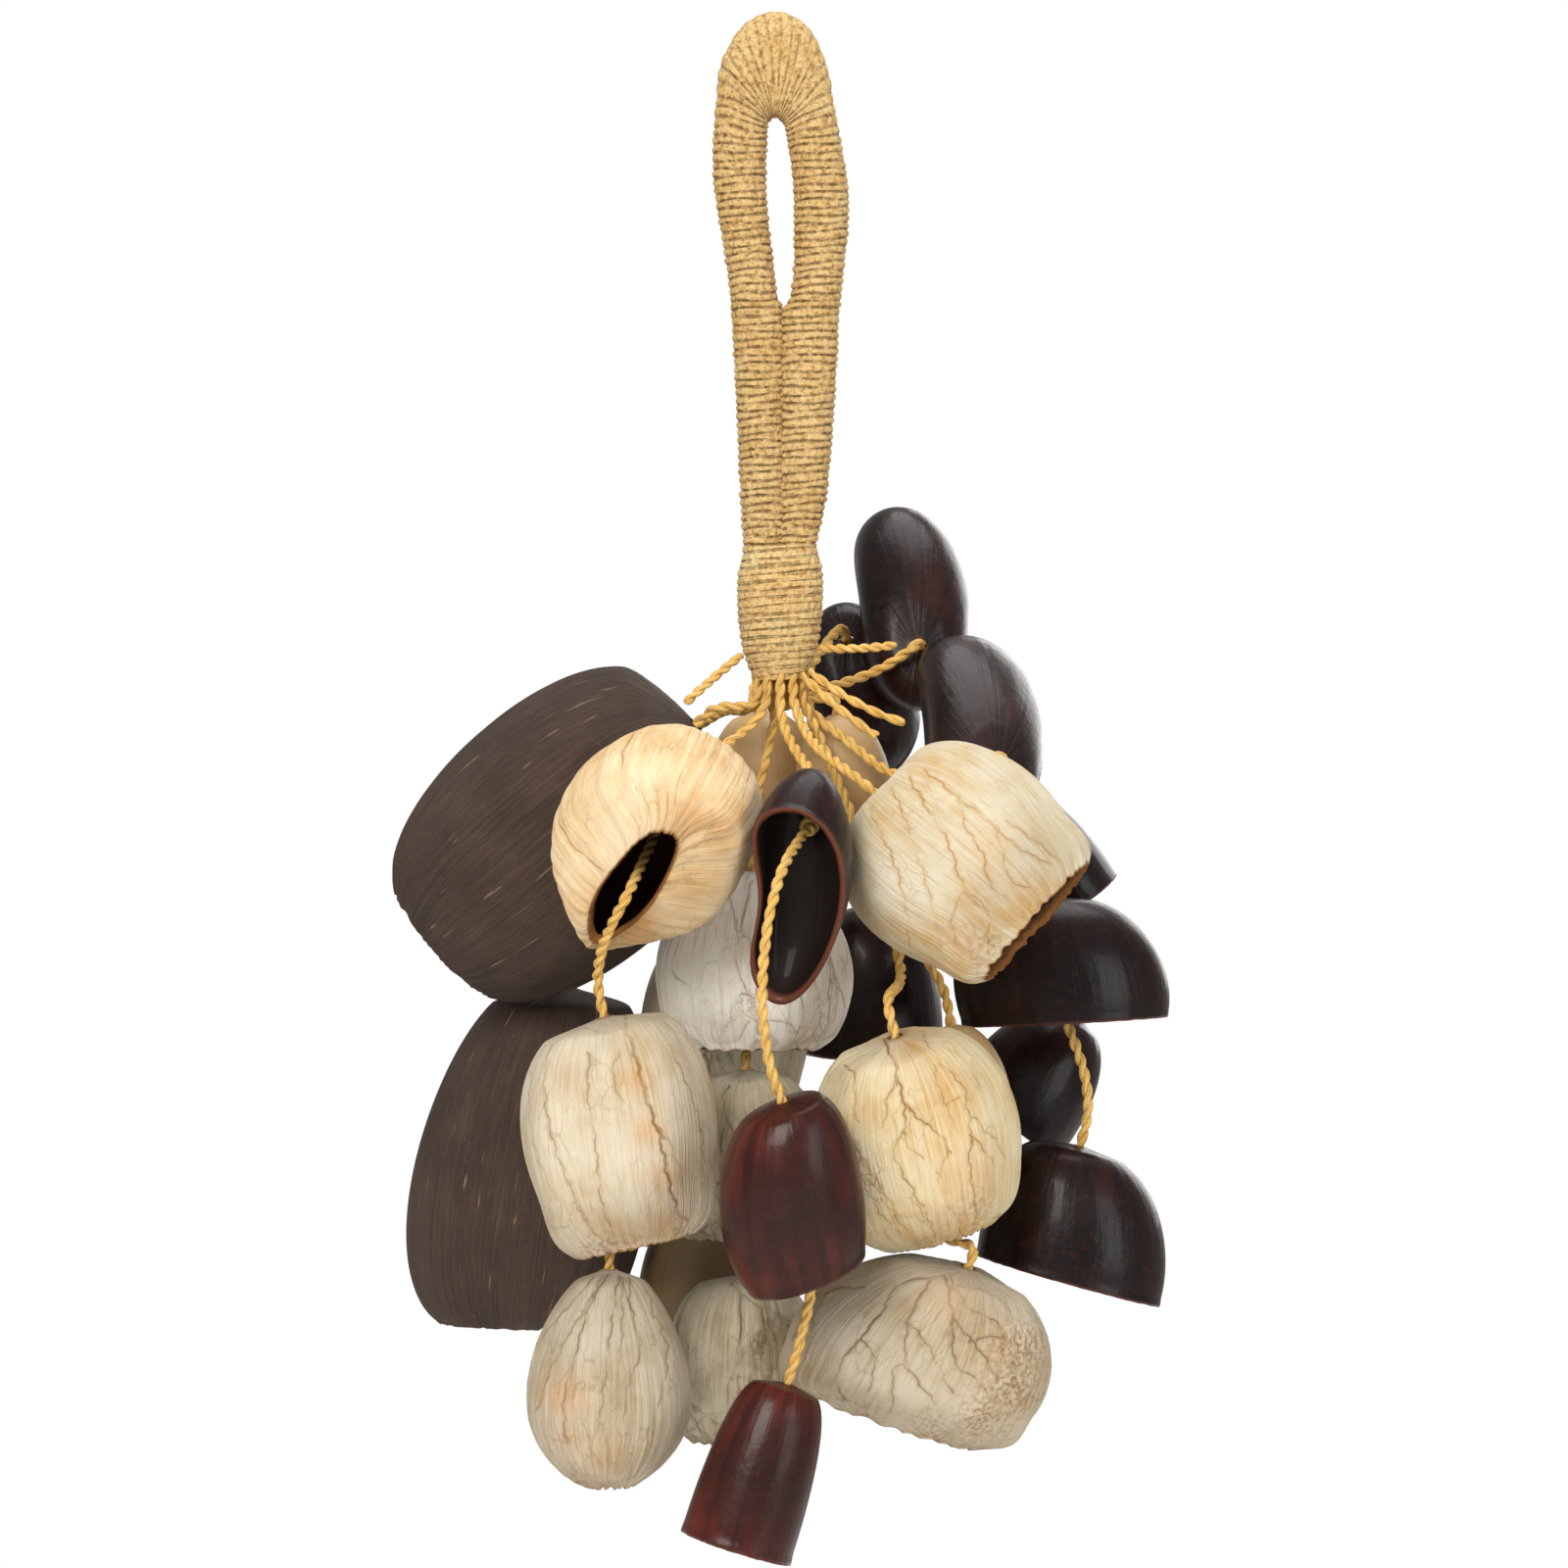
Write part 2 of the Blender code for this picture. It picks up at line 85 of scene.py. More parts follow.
# The forms of shell: where its mouth is in degrees from the top, how full it is, its
# wall, and what share of the wall the inner wall stops short of the lip. The others,
# 0 unless given: a dent on one side, a pinched slit mouth, five soft lobes, a wider
# top or bottom (taper), one side fuller than the other (egg).
PLAIN = dict(dent=0.0, slit=0.0, lobe=0.0, taper=0.0, egg=0.0)
KINDS = {
    "cream": dict(mouth=157, power=0.80, wall=2.0, lip=0.75, slit=1.0, lobe=0.025),
    "pod": dict(mouth=99, power=0.80, wall=1.3, lip=0.35, dent=0.30),
    "husk": dict(mouth=142, power=0.74, wall=3.0, lip=0.45, lobe=0.012),
    "tan": dict(mouth=118, power=0.90, wall=1.5, lip=0.35),
}

# How a single shell differs from its kind.
FORMS = {
    "husk_a": dict(mouth=157, power=0.62),
    "husk_b": dict(mouth=156, power=0.62, taper=-0.14),
    "cream_c": dict(mouth=150, taper=0.08),
    "cream_e": dict(mouth=150, power=0.70, taper=0.10),
    "cream_l": dict(power=0.74, taper=0.06),
    "cream_m": dict(mouth=163, power=0.95, taper=-0.22, slit=0.3),
    "cream_n": dict(mouth=158, power=0.80, slit=0.6),
    "cream_t": dict(power=0.80, taper=-0.16),
    "cream_q": dict(mouth=150, power=0.90, taper=-0.12, slit=0.4),
    "cream_r": dict(mouth=148, slit=0.6),
    "cream_y": dict(slit=0.6),
    "pod_d": dict(dent=0.50, egg=-0.22),
    "pod_o": dict(mouth=132, power=0.68, dent=0.18),
    "pod_p": dict(mouth=97, power=0.45, dent=0.15),
    "pod_g": dict(egg=0.18),
    "pod_i": dict(mouth=110, power=0.74, dent=0.15),
    "pod_k": dict(mouth=101, power=0.68, dent=0.15),
}

# Each string: its direction round the collar in degrees (0 is +X, 90 is the back)
# and its shells from the top down. A shell has a name, which starts with its kind, its
# centre, its half width, half depth and height, the way its mouth faces, its roll about
# that axis, and how far the hole sits towards one end of the shell.
STRINGS = {
    "front": (-90, [
        ("pod_d", (3.7, -42.5, -158), (22.5, 11.8, 17), (-0.30, -0.86, -0.42), 84, -0.55),
        ("pod_o", (-0.6, -55, -218), (15, 13, 37), (0.33, 0.30, -0.90), 0, 0.48),
        ("pod_p", (-3.6, -46, -273), (11.6, 11.5, 35), (-0.30, 0.0, -0.95), 0, 0.0),
    ]),
    "front_left": (-122.7, [
        ("cream_c", (-25.2, -37.5, -147.5), (25, 20, 37), (-0.24, -0.80, -0.55), 112, 0),
        ("cream_l", (-34.2, -36, -207), (20, 16.5, 48), (0.22, 0.05, -0.97), 0, 0.20),
        ("cream_m", (-34.4, -33.5, -256), (18.8, 16, 45), (0.0, 0.05, -1), 90, 0),
    ]),
    "left": (-155.5, [
        ("husk_a", (-43, 7.5, -146.5), (28, 24.5, 72), (-0.74, 0.20, -0.63), 0, 0),
    ]),
    "low_left": (171.8, [
        ("husk_b", (-54.5, 29, -214), (24.5, 24, 73), (-0.03, 0, -1), 0, 0.35),
    ]),
    "front_right": (-57.3, [
        ("cream_e", (35.5, -35, -152), (22.5, 17.5, 43.5), (0.74, -0.30, -0.60), 0, 0),
    ]),
    "low_right": (-24.5, [
        ("cream_n", (26.5, -31, -208), (21, 17, 45), (0.25, 0.30, -0.92), 0, 0.1),
        ("cream_t", (27.5, -23, -249.5), (26, 17, 37), (-0.32, 0.20, -0.92), 0, 0.2),
    ]),
    "right": (8.2, [
        ("pod_g", (41.8, 0.5, -122.6), (23.5, 14.5, 18), (-0.28, 0.82, -0.45), 100, -0.72),
        ("pod_i", (58.2, 6, -173), (22.3, 14, 26.5), (0.05, 0, -1), 0, -0.15),
        ("pod_k", (63, 2, -226), (20, 14, 28), (-0.27, 0, -0.96), 0, -0.25),
    ]),
    "right_back": (73.6, [
        ("pod_f", (27, 33, -98), (22, 13.5, 17), (-0.1, 0.97, -0.2), 100, -0.55),
        ("pod_h", (55.5, 34, -150), (9.5, 12, 27), (0.55, 0.1, -0.80), 0, 0),
        ("pod_j", (55, 33, -197), (14, 12, 27), (-0.60, 0, -0.80), 0, 0),
    ]),
    "back": (106.4, [
        ("pod_z", (16, 46, -117), (18, 13, 18), (0.1, 0.9, -0.4), 95, 0.45),
        ("pod_w", (19.5, 46, -178), (15, 14, 32), (0, 0.1, -1), 0, 0),
    ]),
    "back_left": (139.1, [
        ("tan_x", (-3, 28, -136), (13, 12, 30), (0.1, 0.15, -1), 0, 0),
        ("cream_y", (-12, 36, -188), (18, 16, 44), (-0.05, 0.05, -1), 0, 0),
        ("tan_y", (-14, 36, -240), (16, 15, 36), (-0.05, 0.05, -1), 0, 0),
    ]),
    "inner": (40.9, [
        ("tan_v", (13, 9, -136), (10.5, 10, 28), (0.1, 0.1, -1), 0, 0),
        ("tan_u", (37, -2.5, -199), (10.5, 9.5, 26), (0.15, -0.1, -1), 0, 0),
    ]),
    "centre": (None, [
        ("cream_q", (-6, -3, -173), (20, 13.5, 38), (0, 0, -1), 0, 0),
        ("cream_r", (-7, -2, -213), (17, 15, 36), (0.0, 0, -1), 0, 0),
        ("cream_s", (-8, -2, -255), (16, 15, 36), (-0.03, 0, -1), 0, 0),
    ]),
}

# Points that a string passes on its way to a shell.
VIA = {
    "cream_n": [(17, -10, -150), (24.5, -15, -174)],
    "pod_f": [(10, 16, -117), (21, 19, -113)],
    "pod_g": [(13, -4, -127.5), (27, -14, -136)],
    "pod_i": [(46, 21, -142)],
    "husk_b": [(-12, 12, -122), (-20, 24, -127), (-36, 38, -141), (-46, 39, -165)],
}

# Shells whose string hangs straight down from the knot to the next shell.
PLUMB = ("pod_o", "pod_i")

# Strings that hang in one body, because one lies against the other's shell.
TOGETHER = {"low_right": "front_right", "low_left": "left"}

# Loose ends at the collar: start, middle and cut end.
TAILS = {
    "stub_right": ((8.05, -1.0, -109.0), (16.0, -3.0, -109.6), (24.0, -4.5, -108.4)),
    "stub_left": ((-7.75, -0.8, -110.3), (-13.0, -3.0, -114.5), (-19.5, -5.0, -120.5)),
    "cut_end_upper": ((5.85, -3.1, -113.6), (14.5, -8.5, -121.0), (25.6, -10.0, -124.6)),
    "cut_end_lower": ((4.35, -4.4, -114.4), (11.0, -9.4, -121.5), (20.0, -12.0, -127.4)),
}

# The handle's outline: outer and inner edge of the winding, from the left leg's
# foot over the crown to the right leg's foot, as x and z.
HANDLE_EDGES = [
    ((-7.6, -88.4), (0.1, -88.4)), ((-8.3, -76.4), (0.1, -76.4)),
    ((-9.2, -56.8), (0.1, -56.8)), ((-10.0, -41.4), (0.1, -41.4)),
    ((-10.5, -35.4), (-0.6, -35.4)), ((-11.6, -27.2), (-1.6, -27.2)),
    ((-12.8, -20.0), (-2.4, -20.0)), ((-13.8, -13.0), (-2.8, -13.0)),
    ((-13.8, -5.0), (-2.7, -6.0)), ((-13.3, 3.0), (-2.4, -1.4)),
    ((-12.2, 11.2), (-2.0, -0.5)), ((-8.0, 18.8), (-1.5, 0.0)),
    ((-1.4, 22.0), (-1.0, 0.1)), ((5.2, 19.4), (-0.5, 0.0)),
    ((9.4, 11.8), (0.1, -0.6)), ((11.3, 2.2), (0.9, -1.8)),
    ((12.9, -6.2), (1.7, -6.4)), ((14.1, -14.0), (2.6, -14.0)),
    ((14.1, -22.2), (2.8, -22.2)), ((13.3, -30.2), (2.7, -30.2)),
    ((12.6, -37.0), (2.0, -37.0)), ((12.2, -41.4), (0.6, -41.4)),
    ((11.4, -56.8), (0.6, -56.8)), ((9.8, -76.4), (0.6, -76.4)),
    ((7.4, -88.4), (0.6, -88.4)),
]

# The collar: height, half width and half depth of its outside.
COLLAR_PROFILE = [
    (-89.0, 7.7, 5.4), (-92.0, 8.5, 6.4), (-97.0, 8.9, 7.2), (-103.0, 8.7, 7.2),
    (-108.0, 7.9, 6.9), (-112.0, 6.8, 6.3), (COLLAR_BOTTOM, 5.2, 5.2),
]

# Looks of the cream shells: points round it and rings down it, seed, vein trunks, how
# often they fork, depth of the veins, depth of the fine wrinkles, how many of these
# go round, colour family.
Look = namedtuple("Look", "grid seed trunks fork groove wrinkle waves tone")
CREAMS = {
    "cream_c": Look((200, 118), 3, 5, 0.01, 0.04, 0.30, (16, 40), "warm"),
    "cream_e": Look((210, 124), 6, 8, 0.035, 0.13, 0.14, (12, 36), "fresh"),
    "cream_l": Look((200, 124), 9, 6, 0.012, 0.10, 0.12, (10, 30), "pale"),
    "cream_m": Look((200, 124), 11, 13, 0.008, 0.24, 0.16, (14, 36), "dull"),
    "cream_n": Look((210, 124), 14, 8, 0.055, 0.18, 0.16, (16, 40), "gold"),
    "cream_t": Look((210, 124), 17, 9, 0.070, 0.24, 0.13, (10, 30), "dull"),
    "cream_q": Look((150, 100), 21, 14, 0.02, 0.25, 0.25, (14, 34), "bright"),
    "cream_r": Look((130, 90), 24, 8, 0.06, 0.3, 0.15, (12, 30), "grey"),
    "cream_s": Look((130, 90), 27, 8, 0.06, 0.3, 0.15, (12, 30), "grey"),
    "cream_y": Look((110, 70), 30, 8, 0.05, 0.3, 0.15, (10, 24), "grey"),
}

# The main veins of the front shells: width, then points as x and z.
RIDGE_FROM = 1.2    # a line wider than this stands up as a ridge
TRACED = {
    "cream_e": [
        (0.8, [(25, -134.4), (29.3, -141.8), (33.7, -149.2), (36.1, -156.6), (39.2, -161.5)]),
        (0.7, [(28.7, -133.8), (35.5, -139.3), (41.7, -144.3), (47.8, -149.8), (54, -152.9)]),
        (0.6, [(41.7, -144.3), (44.1, -149.2), (45.4, -155.4), (49.1, -157.8)]),
        (0.7, [(35.5, -139.3), (37, -145.5), (40.4, -151), (41.7, -156.6), (46.6, -161.5)]),
        (0.5, [(34.3, -152.3), (37, -157.8), (41.7, -162.8), (41.7, -168.9)]),
        (0.6, [(20.7, -134.4), (25, -144.3), (27.5, -151.7), (29.3, -157.8), (31.2, -166.5), (32.4, -173.8)]),
        (0.5, [(15.8, -136.9), (19.5, -145.5), (23.2, -154.1), (25, -162.8), (25.6, -170.1)]),
        (0.4, [(45.4, -144.3), (51.5, -148.6), (56.5, -152.9)]),
        (0.5, [(36.7, -157.8), (34.3, -164), (35.5, -170.1)]),
    ],
    "cream_l": [
        (1.6, [(-31.4, -183.5), (-29.3, -189.4), (-26.7, -198.8), (-24, -207.1), (-22.2, -215.3),
              (-20.4, -222.4), (-18.7, -224.7)]),
        (0.6, [(-38.1, -190.6), (-38.4, -198.8), (-36.9, -208.2), (-35.7, -220), (-34, -225.9)]),
        (0.5, [(-32.2, -190.6), (-33.4, -194.1), (-32.2, -198.8), (-31, -200.6)]),
        (0.5, [(-46.3, -189.4), (-46.9, -196.5), (-45.7, -205.9), (-42.2, -216.5), (-38.7, -224.7)]),
        (0.4, [(-23.4, -205.9), (-21.6, -209.4), (-19.8, -214.1)]),
        (0.4, [(-41.6, -216.5), (-39.9, -222.4), (-36.3, -228.3)]),
        (0.4, [(-50.5, -192.9), (-50.7, -201.2), (-48.7, -210.6), (-44.6, -220)]),
        (0.5, [(-22.2, -189.4), (-18.7, -196.5), (-15.7, -205.9), (-15.1, -215.3)]),
        (0.4, [(-51.6, -190), (-45.7, -187.1), (-38.7, -186.1), (-32.2, -186.5)]),
    ],
    "cream_m": [
        (0.7, [(-33, -233), (-38.1, -241.2), (-41, -250.6), (-43.4, -260), (-42.8, -268.3)]),
        (0.6, [(-32.2, -234.1), (-33.4, -243.6), (-34.6, -253), (-35.7, -262.4), (-38.1, -269.5)]),
        (0.7, [(-30.4, -234.1), (-29.3, -242.4), (-27.5, -249.4), (-30.4, -257.7), (-31, -264.8)]),
        (0.6, [(-28.7, -234.1), (-25.1, -242.4), (-22.2, -250.6), (-23.4, -260), (-26.9, -268.3)]),
        (0.5, [(-34.6, -234.1), (-40.4, -243.6), (-45.7, -253), (-48.7, -262.4)]),
        (0.5, [(-26.9, -235.3), (-21, -244.7), (-18.1, -253)]),
        (0.5, [(-35.7, -234.1), (-43.4, -242.4), (-49.3, -250.6), (-51, -257.7)]),
        (0.4, [(-31.6, -234.1), (-31.4, -245.9), (-32.6, -257.7), (-34, -268.3)]),
    ],
    "cream_n": [
        (1, [(12.3, -186), (16.8, -186.5), (20.5, -188.2), (22.7, -192.3), (23.6, -196), (25, -200.9),
              (28.7, -204.6), (32.4, -207.6), (33.8, -210.9)]),
        (0.9, [(9.7, -190.4), (11.2, -192.3), (13.8, -193.6), (14.7, -196), (14.9, -200.5), (15.3, -204.6)]),
        (0.5, [(9.3, -190.8), (8, -194.5), (7.4, -199)]),
        (0.6, [(23.1, -195.3), (22, -198.6), (20.9, -200.9), (21.4, -203.1), (20.1, -205.7)]),
        (0.7, [(25, -201.2), (24.6, -206.5), (22.6, -209.8), (23.5, -213.2), (26.4, -218.4), (29.1, -222.9),
              (30.6, -226.6)]),
        (0.5, [(24.6, -206.5), (26.1, -210.2), (28.5, -211.7)]),
        (0.5, [(28.3, -186.7), (30.9, -190.8), (34.7, -195.3), (36.9, -197.5), (37.6, -202), (38.4, -207.2)]),
        (0.5, [(30.9, -193.4), (31.7, -197.5), (33.2, -200.9), (33.9, -203.5)]),
        (0.4, [(33.2, -200.9), (35.4, -199.8)]),
        (0.6, [(38.4, -207.2), (41.4, -210.9), (43.5, -213.9)]),
        (0.6, [(38.4, -207.2), (38, -212.4), (38.8, -218.4), (39.5, -222.9), (39.1, -227.4)]),
        (0.5, [(31.3, -215), (33.2, -219.9), (35.4, -224.4), (36.9, -228.8)]),
        (0.5, [(33.9, -210.9), (32.4, -213.9), (33.9, -218.4)]),
        (0.4, [(37.6, -202), (40.6, -205.7), (43.6, -208.7), (45.5, -212.4)]),
        (0.4, [(10, -202), (13, -207.2), (16, -210.9), (20.5, -218.4), (23.5, -223.6)]),
        (0.4, [(11.5, -202.7), (14.9, -209.5), (17.5, -214.7), (21.2, -221.4), (25.7, -227.4)]),
        (0.4, [(13.8, -208.7), (16.8, -216.9), (20.5, -223.6), (24.2, -227.4)]),
        (0.4, [(27.2, -219.9), (28.7, -224.4), (31.7, -228.8)]),
    ],
    "cream_t": [
        (1, [(30.9, -235.9), (26.4, -236.7), (22.7, -238.5), (20.9, -242.3), (18.2, -245.6), (16, -248.6),
              (13, -252), (11.5, -255.7), (11.5, -259.4), (13.8, -262)]),
        (0.5, [(16.2, -249), (18.4, -250.8), (18.8, -254.6), (17.9, -258.7), (16.8, -262.4), (17.5, -265.4)]),
        (0.9, [(30.6, -236.2), (27.6, -240.8), (25.7, -245.2), (25.1, -250.5), (25.3, -253.5),
              (28.3, -257.9), (31.3, -261.7)]),
        (0.6, [(25.7, -245.2), (28.7, -248.2), (30.9, -252), (32.8, -255.7), (34.5, -259.4)]),
        (0.5, [(25.3, -253.5), (22.7, -254.6), (22.6, -259.4), (22.3, -263.9)]),
        (0.9, [(33.5, -235.9), (34.3, -240), (34.8, -244.5), (34.7, -248.2), (35.4, -253.5), (39.1, -256.4),
              (41.4, -258.7)]),
        (0.8, [(34.8, -244.5), (37.6, -247.5), (40.6, -251.2), (42.9, -254.9), (44, -257.6)]),
        (0.7, [(34.7, -236.7), (36.1, -239.3), (39.1, -243), (42.9, -244.5), (45.8, -248.2)]),
        (0.6, [(38.4, -249), (42.9, -247.9), (45.8, -249.4)]),
        (0.5, [(16.8, -238.5), (10.8, -238.9), (7.8, -242.3), (6.3, -246), (6.7, -249)]),
        (0.5, [(13.8, -238.5), (8.6, -240), (4.8, -244.5), (2.6, -249)]),
        (0.5, [(6.3, -249), (4.8, -252.7), (5.6, -256.4)]),
        (0.5, [(35.4, -237.8), (39.5, -238.5), (43.6, -240), (46.6, -243)]),
    ],
}

# Marks on the shells' fronts, as x, z, radius and strength: golden stains, and gritty rims.
STAINS = {
    "cream_c": [(-29, -165, 5, 0.9), (-35, -160, 5, 0.6), (-22, -148, 7, 0.3), (-18, -160, 5, 0.4)],
    "cream_l": [(-29, -196, 3, 0.9), (-26, -206, 3.2, 0.9), (-23, -216, 3.2, 0.8), (-22, -226, 3.5, 0.6),
                (-32, -230, 7, 0.35)],
    "cream_m": [(-43, -259, 5, 0.8), (-42, -268, 4, 0.5), (-36, -272, 6, 0.4)],
    "cream_e": [(50, -160, 7, 0.5), (42, -150, 6, 0.35), (38, -168, 6, 0.5)],
    "cream_n": [(38, -215, 9, 0.6), (35, -200, 7, 0.35), (36, -226, 7, 0.6), (26, -190, 3, 0.9)],
    "cream_t": [(45, -252, 7, 0.35), (34, -240, 5, 0.5), (45, -262, 6, 0.3)],
}
GRIT = {
    "cream_t": [(48, -251, 6, 1.0), (47, -259, 6, 1.0), (41, -265, 6, 0.9), (30, -269, 6, 0.7),
                (18, -268, 5, 0.6)],
    "cream_l": [(-36, -231, 4, 0.8), (-28, -232, 4, 0.9), (-20, -229, 4, 0.6)],
    "cream_m": [(-50, -275, 5, 0.5), (-41, -278, 4, 0.6)],
    "cream_n": [(40, -223, 5, 0.5), (30, -230, 4, 0.4)],
    "cream_e": [(42, -170, 4, 0.6), (52, -163, 4, 0.5)],
    "cream_c": [(-34, -167, 4, 0.6), (-24, -170, 4, 0.5)],
}
GRIDS = {"pod": (96, 60), "husk": (128, 84), "tan": (80, 48)}


def smooth(x):
    x = np.clip(x, 0.0, 1.0)
    return x * x * (3 - 2 * x)


def mix(a, b, t):
    return a + (b - a) * t


def srgb(r, g, b):
    """A colour given as 0 to 255 values, as the shaders want it."""
    out = []
    for c in (r, g, b):
        c /= 255.0
        out.append(c / 12.92 if c <= 0.04045 else ((c + 0.055) / 1.055) ** 2.4)
    return (*out, 1.0)


# ---- node materials ----

class Nodes:
    """A material with short ways to add and join its nodes."""

    def __init__(self, name):
        self.material = bpy.data.materials.new(name)
        self.material.use_nodes = True
        self.tree = self.material.node_tree
        self.shader = self.tree.nodes["Principled BSDF"]

    def add(self, kind, **settings):
        node = self.tree.nodes.new(kind)
        for key, value in settings.items():
            if hasattr(node, key):
                setattr(node, key, value)
            else:
                self.put(value, node.inputs[key.replace("_", " ")])
        return node

    def put(self, value, socket):
        if isinstance(value, bpy.types.NodeSocket):
            self.tree.links.new(value, socket)
        else:
            socket.default_value = value

    def attribute(self, name, output="Fac"):
        return self.add("ShaderNodeAttribute", attribute_name=name).outputs[output]

    def millimetres(self):
        return self.scaled(self.add("ShaderNodeTexCoord").outputs["Object"], (1000, 1000, 1000))

    def scaled(self, vector, scale):
        return self.add("ShaderNodeMapping", Vector=vector, Scale=scale).outputs["Vector"]

    def noise(self, vector, scale, detail=4.0, rough=0.55, distort=0.0):
        return self.add("ShaderNodeTexNoise", Vector=vector, Scale=scale, Detail=detail, Roughness=rough,
                        Distortion=distort).outputs["Fac"]

    def wavering(self, vector, scale, amount):
        """A vector about 0, for bending another one."""
        node = self.add("ShaderNodeTexNoise", Vector=vector, Scale=scale, Detail=3.0)
        middle = self.add("ShaderNodeVectorMath", operation="MULTIPLY_ADD")
        for socket, value in zip(middle.inputs, (node.outputs["Color"], (2 * amount,) * 3, (-amount,) * 3)):
            self.put(value, socket)
        return middle.outputs[0]

    def split(self, vector):
        return self.add("ShaderNodeSeparateXYZ", Vector=vector).outputs

    def ramp(self, value, stops):
        node = self.add("ShaderNodeValToRGB", Fac=value)
        band = node.color_ramp
        while len(band.elements) < len(stops):
            band.elements.new(0.5)
        for element, (place, colour) in zip(band.elements, stops):
            element.position = place
            element.color = colour if isinstance(colour, tuple) else (colour, colour, colour, 1)
        return node.outputs["Color"]

    def math(self, operation, a, b=0.5, clamp=False):
        node = self.add("ShaderNodeMath", operation=operation, use_clamp=clamp)
        self.put(a, node.inputs[0])
        self.put(b, node.inputs[1])
        return node.outputs[0]

    def times(self, a, b):
        return self.math("MULTIPLY", a, b)

    def plus(self, a, b):
        return self.math("ADD", a, b)

    def minus(self, a, b):
        return self.math("SUBTRACT", a, b)

    def weighted(self, *parts):
        """The sum of some values, each times its weight."""
        total = self.times(*parts[0])
        for value, weight in parts[1:]:
            total = self.plus(total, self.times(value, weight))
        return total

    def blend(self, factor, a, b, mode="MIX"):
        node = self.add("ShaderNodeMix", data_type="RGBA", blend_type=mode, Factor=factor)
        self.put(a, node.inputs[6])
        self.put(b, node.inputs[7])
        return node.outputs[2]

    def tint(self, colour, value, stops, over):
        """A colour laid over another, as strongly as the stops say for a value."""
        return self.blend(self.ramp(value, stops), colour, over)

    def edges(self, colour, inside, lip):
        """The colours of a shell's inner wall, painted dark as shade in its hollow, and of its lip."""
        return self.blend(self.attribute("lip"), self.blend(self.attribute("inside"), colour, inside), lip)

    def bump(self, height, distance, strength=1.0):
        return self.add("ShaderNodeBump", Height=height, Distance=distance, Strength=strength).outputs["Normal"]

    def finish(self, colour, rough, normal=None, **others):
        self.put(colour, self.shader.inputs["Base Color"])
        self.put(rough, self.shader.inputs["Roughness"])
        if normal is not None:
            self.put(normal, self.shader.inputs["Normal"])
        for key, value in others.items():
            self.shader.inputs[key.replace("_", " ")].default_value = value
        return self.material


TONES = {
    # light, middle, deep, vein
    "warm": ((244, 222, 184), (234, 200, 148), (212, 160, 102), (160, 108, 58)),
    "fresh": ((216, 206, 184), (206, 190, 156), (196, 160, 104), (180, 128, 66)),
    "gold": ((236, 223, 190), (226, 205, 160), (206, 170, 110), (142, 100, 52)),
    "pale": ((222, 211, 189), (210, 194, 166), (192, 166, 127), (150, 112, 70)),
    "dull": ((204, 192, 171), (188, 173, 146), (164, 141, 106), (110, 80, 48)),
    # a lighter copy of the cream colours: painted light for cream_q, which hangs in shade deep among the shells
    "bright": ((252, 248, 240), (246, 238, 224), (226, 212, 190), (160, 134, 104)),
    "grey": ((204, 194, 172), (180, 167, 140), (146, 130, 100), (88, 70, 46)),
}


